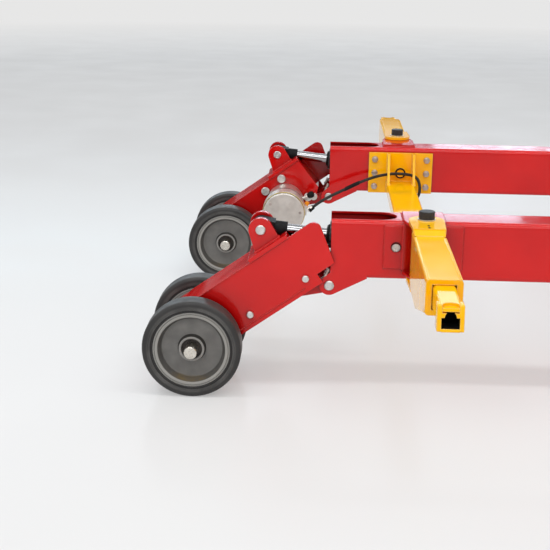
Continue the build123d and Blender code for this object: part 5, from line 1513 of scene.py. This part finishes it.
def case_handle(hand):
    """Bent rod with two legs on one end wall of the case."""
    work = bmesh.new()
    outward = Vector((0.0, hand, 0.0))
    wall = Vector((case_low.x + HANDLE_REACH, hand * case_high.y, HANDLE_Z))
    near = wall - FORWARD * HANDLE_SPAN / 2.0
    facing = outward.to_track_quat("Z", "Y").to_matrix().to_4x4()
    ring = bmesh.ops.create_circle(
        work, segments=16, radius=HANDLE_R, cap_ends=False, matrix=Matrix.Translation(near) @ facing,
    )
    rim = edges_of(ring["verts"])
    straight = FORWARD * (HANDLE_SPAN - 2.0 * HANDLE_BEND)
    corner = near + outward * HANDLE_LEG + FORWARD * HANDLE_BEND
    quarter = -hand * math.pi / 2.0
    rim = push(work, rim, outward * HANDLE_LEG)
    rim = bend(work, rim, corner, quarter)
    rim = push(work, rim, straight)
    rim = bend(work, rim, corner + straight, quarter)
    push(work, rim, outward * -HANDLE_LEG)
    for shift in (-HANDLE_SPAN / 2.0, HANDLE_SPAN / 2.0):
        washer(work, wall + FORWARD * shift, outward, *HANDLE_WASHER)
    return work


for side, hand in SIDES:
    piece(f"{side}_case_handle", case_handle(hand), finishes["black_steel"], "frame")
print("case handles bent")

# %% [markdown]
# The tow bar is a square tube with a knuckle at one end and a thick eye at the other, both welded on.
# The lift lever ends in a ball, to which a seam ring and a lock nut are added.

# %% Tow bar and lift lever
TOW_Z, TOW_TUBE_HALF = 0.380, 0.025
TOW_SEAMS, TOW_WELD_R = (2.2155, 2.757), 0.0030
LEVER_Y, LEVER_BALL_R = -0.18, 0.016
LEVER_NUT_DOWN, LEVER_NUT_R, LEVER_NUT_H = 0.0225, 0.0105, 0.0070
lever_low, lever_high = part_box("lift_lever")


def tow_welds():
    """Welds round the tow bar's tube at the knuckle and at the eye."""
    work = bmesh.new()
    for reach in TOW_SEAMS:
        corners = []
        for across, rise in ((-1, -1), (1, -1), (1, 1), (-1, 1)):
            spot = (AXLE_X + reach, across * TOW_TUBE_HALF, TOW_Z + rise * TOW_TUBE_HALF)
            corners.append(Vector(spot))
        weld_path(work, corners, TOW_WELD_R, closed=True)
    return work


def lever_nut():
    """Lock nut under the lever's ball and the ball's seam ring."""
    work = bmesh.new()
    ball = Vector(((lever_low.x + lever_high.x) / 2.0, LEVER_Y, lever_high.z - LEVER_BALL_R))
    hex_bolt(work, ball + DOWN * LEVER_NUT_DOWN, UP, LEVER_NUT_R, LEVER_NUT_H)
    seam = [(0.0156, -0.0007), (0.0164, -0.0004), (0.0164, 0.0004), (0.0156, 0.0007)]
    return lathe(work, seam, ball, UP, steps=40)


piece("tow_welds", tow_welds(), finishes["red_paint"], "tow_bar_body")
piece("lever_nut", lever_nut(), finishes["zinc_steel"], "lever_body")
print("tow bar and lever done")

# %% [markdown]
# The hall's floor is pale gloss resin. A large plane is enough, but it must mirror softly, or the cart
# floats. Roughness sits between a mirror and chalk, and a slow noise breaks the reflection up. A share
# of even glow, seen only by the camera and in reflections, keeps the shadows as light as in a white hall.
# Far from the cart the glow takes over, so that the floor runs into the backdrop without a horizon line.

# %% Floor
FLOOR_SIZE = 60.0
FLOOR_GLOW, GLOW_TONE = 0.40, (0.84, 0.835, 0.83)
FADE_FROM, FADE_TO = 5.0, 13.0
BACKDROP = (0.80, 0.798, 0.795)

finish, tree, shader = new_finish("floor_resin", (0.74, 0.74, 0.74), specular=0.06)
colour = tint(tree, grain(tree, 0.5), (0.725, 0.727, 0.728), (0.755, 0.757, 0.755))
tree.links.new(colour, shader.inputs["Base Color"])
roughen(tree, shader, grain(tree, 2.5), 0.16, 0.24)
rays = tree.nodes.new("ShaderNodeLightPath")
mirrored = combine(tree, "MAXIMUM", rays.outputs["Is Glossy Ray"], rays.outputs["Is Transmission Ray"])
seen = combine(tree, "MAXIMUM", rays.outputs["Is Camera Ray"], mirrored)
near_share = spread(tree, seen, 0.0, 1.0, 0.0, FLOOR_GLOW)
spot = tree.nodes.new("ShaderNodeTexCoord")
away = tree.nodes.new("ShaderNodeVectorMath")
away.operation = "LENGTH"
tree.links.new(spot.outputs["Object"], away.inputs[0])
fade = spread(tree, away.outputs["Value"], FADE_FROM, FADE_TO, 0.0, 1.0)
far_share = combine(tree, "MULTIPLY", fade, rays.outputs["Is Camera Ray"])
share = combine(tree, "MAXIMUM", near_share, far_share)
glow = tree.nodes.new("ShaderNodeEmission")
tree.links.new(tint(tree, fade, GLOW_TONE, BACKDROP, 0.0, 1.0), glow.inputs["Color"])
blend = tree.nodes.new("ShaderNodeMixShader")
tree.links.new(share, blend.inputs["Fac"])
tree.links.new(shader.outputs["BSDF"], blend.inputs[1])
tree.links.new(glow.outputs["Emission"], blend.inputs[2])
tree.links.new(blend.outputs["Shader"], tree.nodes["Material Output"].inputs["Surface"])
plate = bmesh.new()
bmesh.ops.create_grid(plate, x_segments=1, y_segments=1, size=FLOOR_SIZE)
sheet = bpy.data.meshes.new("floor")
plate.to_mesh(sheet)
plate.free()
sheet.materials.append(finish)
floor = bpy.data.objects.new("floor", sheet)
scene.collection.objects.link(floor)
print("floor laid")

# %% [markdown]
# A narrow row of lamps hangs overhead, a little toward the camera, so the near beam lays a band of shade
# on the floor. A wide fill opens the shaded sides, and windows at one end light the fronts. The hall's far
# wall has bands of windows, and those matter most: the tops of the beams and of the yellow tubes mirror
# them at a shallow angle, each at its own height, so some tops turn nearly white while others keep their
# colour.

# %% Lights
WALL_Y, WALL_AIM_Z = 12.0, 0.5
WHITE, COOL, COOLER, PALE = (1.0, 1.0, 1.0), (0.82, 0.92, 1.10), (0.64, 0.96, 1.14), (0.90, 0.96, 1.05)


def softbox(name, place, aim, width, height, radiance, colour=WHITE):
    """Rectangular lamp of a size whose face has an even brightness."""
    lamp = bpy.data.lights.new(name, "AREA")
    lamp.shape = "RECTANGLE"
    lamp.size = width
    lamp.size_y = height
    lamp.energy = math.pi * width * height * radiance
    lamp.color = colour
    holder = bpy.data.objects.new(name, lamp)
    holder.location = place
    holder.rotation_mode = "QUATERNION"
    holder.rotation_quaternion = (Vector(aim) - Vector(place)).to_track_quat("-Z", "Y")
    scene.collection.objects.link(holder)


def wall_band(name, x, z, width, height, radiance, colour):
    """A level band of light on the hall's far wall."""
    softbox(name, (x, WALL_Y, z), (x, 0.0, WALL_AIM_Z), width, height, radiance, colour)


softbox("ceiling", (-0.8, -1.6, 5.0), (-0.8, -1.2, 0.0), 8.0, 0.5, 9.6)
softbox("near_fill", (-2.0, -6.0, 4.2), (-0.6, 0.0, 0.3), 7.0, 3.0, 2.15)
softbox("side_windows", (8.0, 1.0, 3.0), (0.0, 0.0, 0.4), 5.0, 1.8, 2.4)
wall_band("low_haze", -3.0, 2.36, 6.6, 0.44, 0.7, COOL)
wall_band("low_windows", 4.0, 2.36, 7.2, 0.44, 3.2, COOL)
wall_band("mid_windows", -5.2, 3.09, 13.6, 0.42, 4.8, COOLER)
wall_band("high_haze", 0.0, 4.10, 24.0, 0.40, 0.5, WHITE)
wall_band("high_windows", 0.0, 5.10, 24.0, 1.60, 2.2, PALE)
print("lamps hung")

# %% [markdown]
# The world stands for the rest of the hall: pale overhead, dimmer low down and dark on the far wall round
# the windows. Gloss shows all of it. The camera itself sees only an even backdrop, chosen by the Light
# Path node, so that nothing behind the cart draws the eye.

# %% Hall
HALL_LOW, HALL_HIGH, HALL_RISE = (0.40, 0.405, 0.41), (0.70, 0.71, 0.72), (0.05, 0.28)
FAR_WALL, FAR_WALL_EDGE, FAR_WALL_TOP = (0.10, 0.10, 0.105), (0.45, 0.75), (0.27, 0.36)

hall = bpy.data.worlds.new("hall")
scene.world = hall
hall.use_nodes = True
tree = hall.node_tree
heading = tree.nodes.new("ShaderNodeTexCoord")
split = tree.nodes.new("ShaderNodeSeparateXYZ")
tree.links.new(heading.outputs["Generated"], split.inputs["Vector"])
colour = tint(tree, split.outputs["Z"], HALL_LOW, HALL_HIGH, *HALL_RISE)
far_side = spread(tree, split.outputs["Y"], *FAR_WALL_EDGE, 0.0, 1.0)
below_top = spread(tree, split.outputs["Z"], *FAR_WALL_TOP, 1.0, 0.0)
colour = over(tree, combine(tree, "MULTIPLY", far_side, below_top), colour, FAR_WALL)
rays = tree.nodes.new("ShaderNodeLightPath")
colour = over(tree, rays.outputs["Is Camera Ray"], colour, BACKDROP)
tree.links.new(colour, tree.nodes["Background"].inputs["Color"])
tree.nodes["Background"].inputs["Strength"].default_value = 1.0
print("hall made")
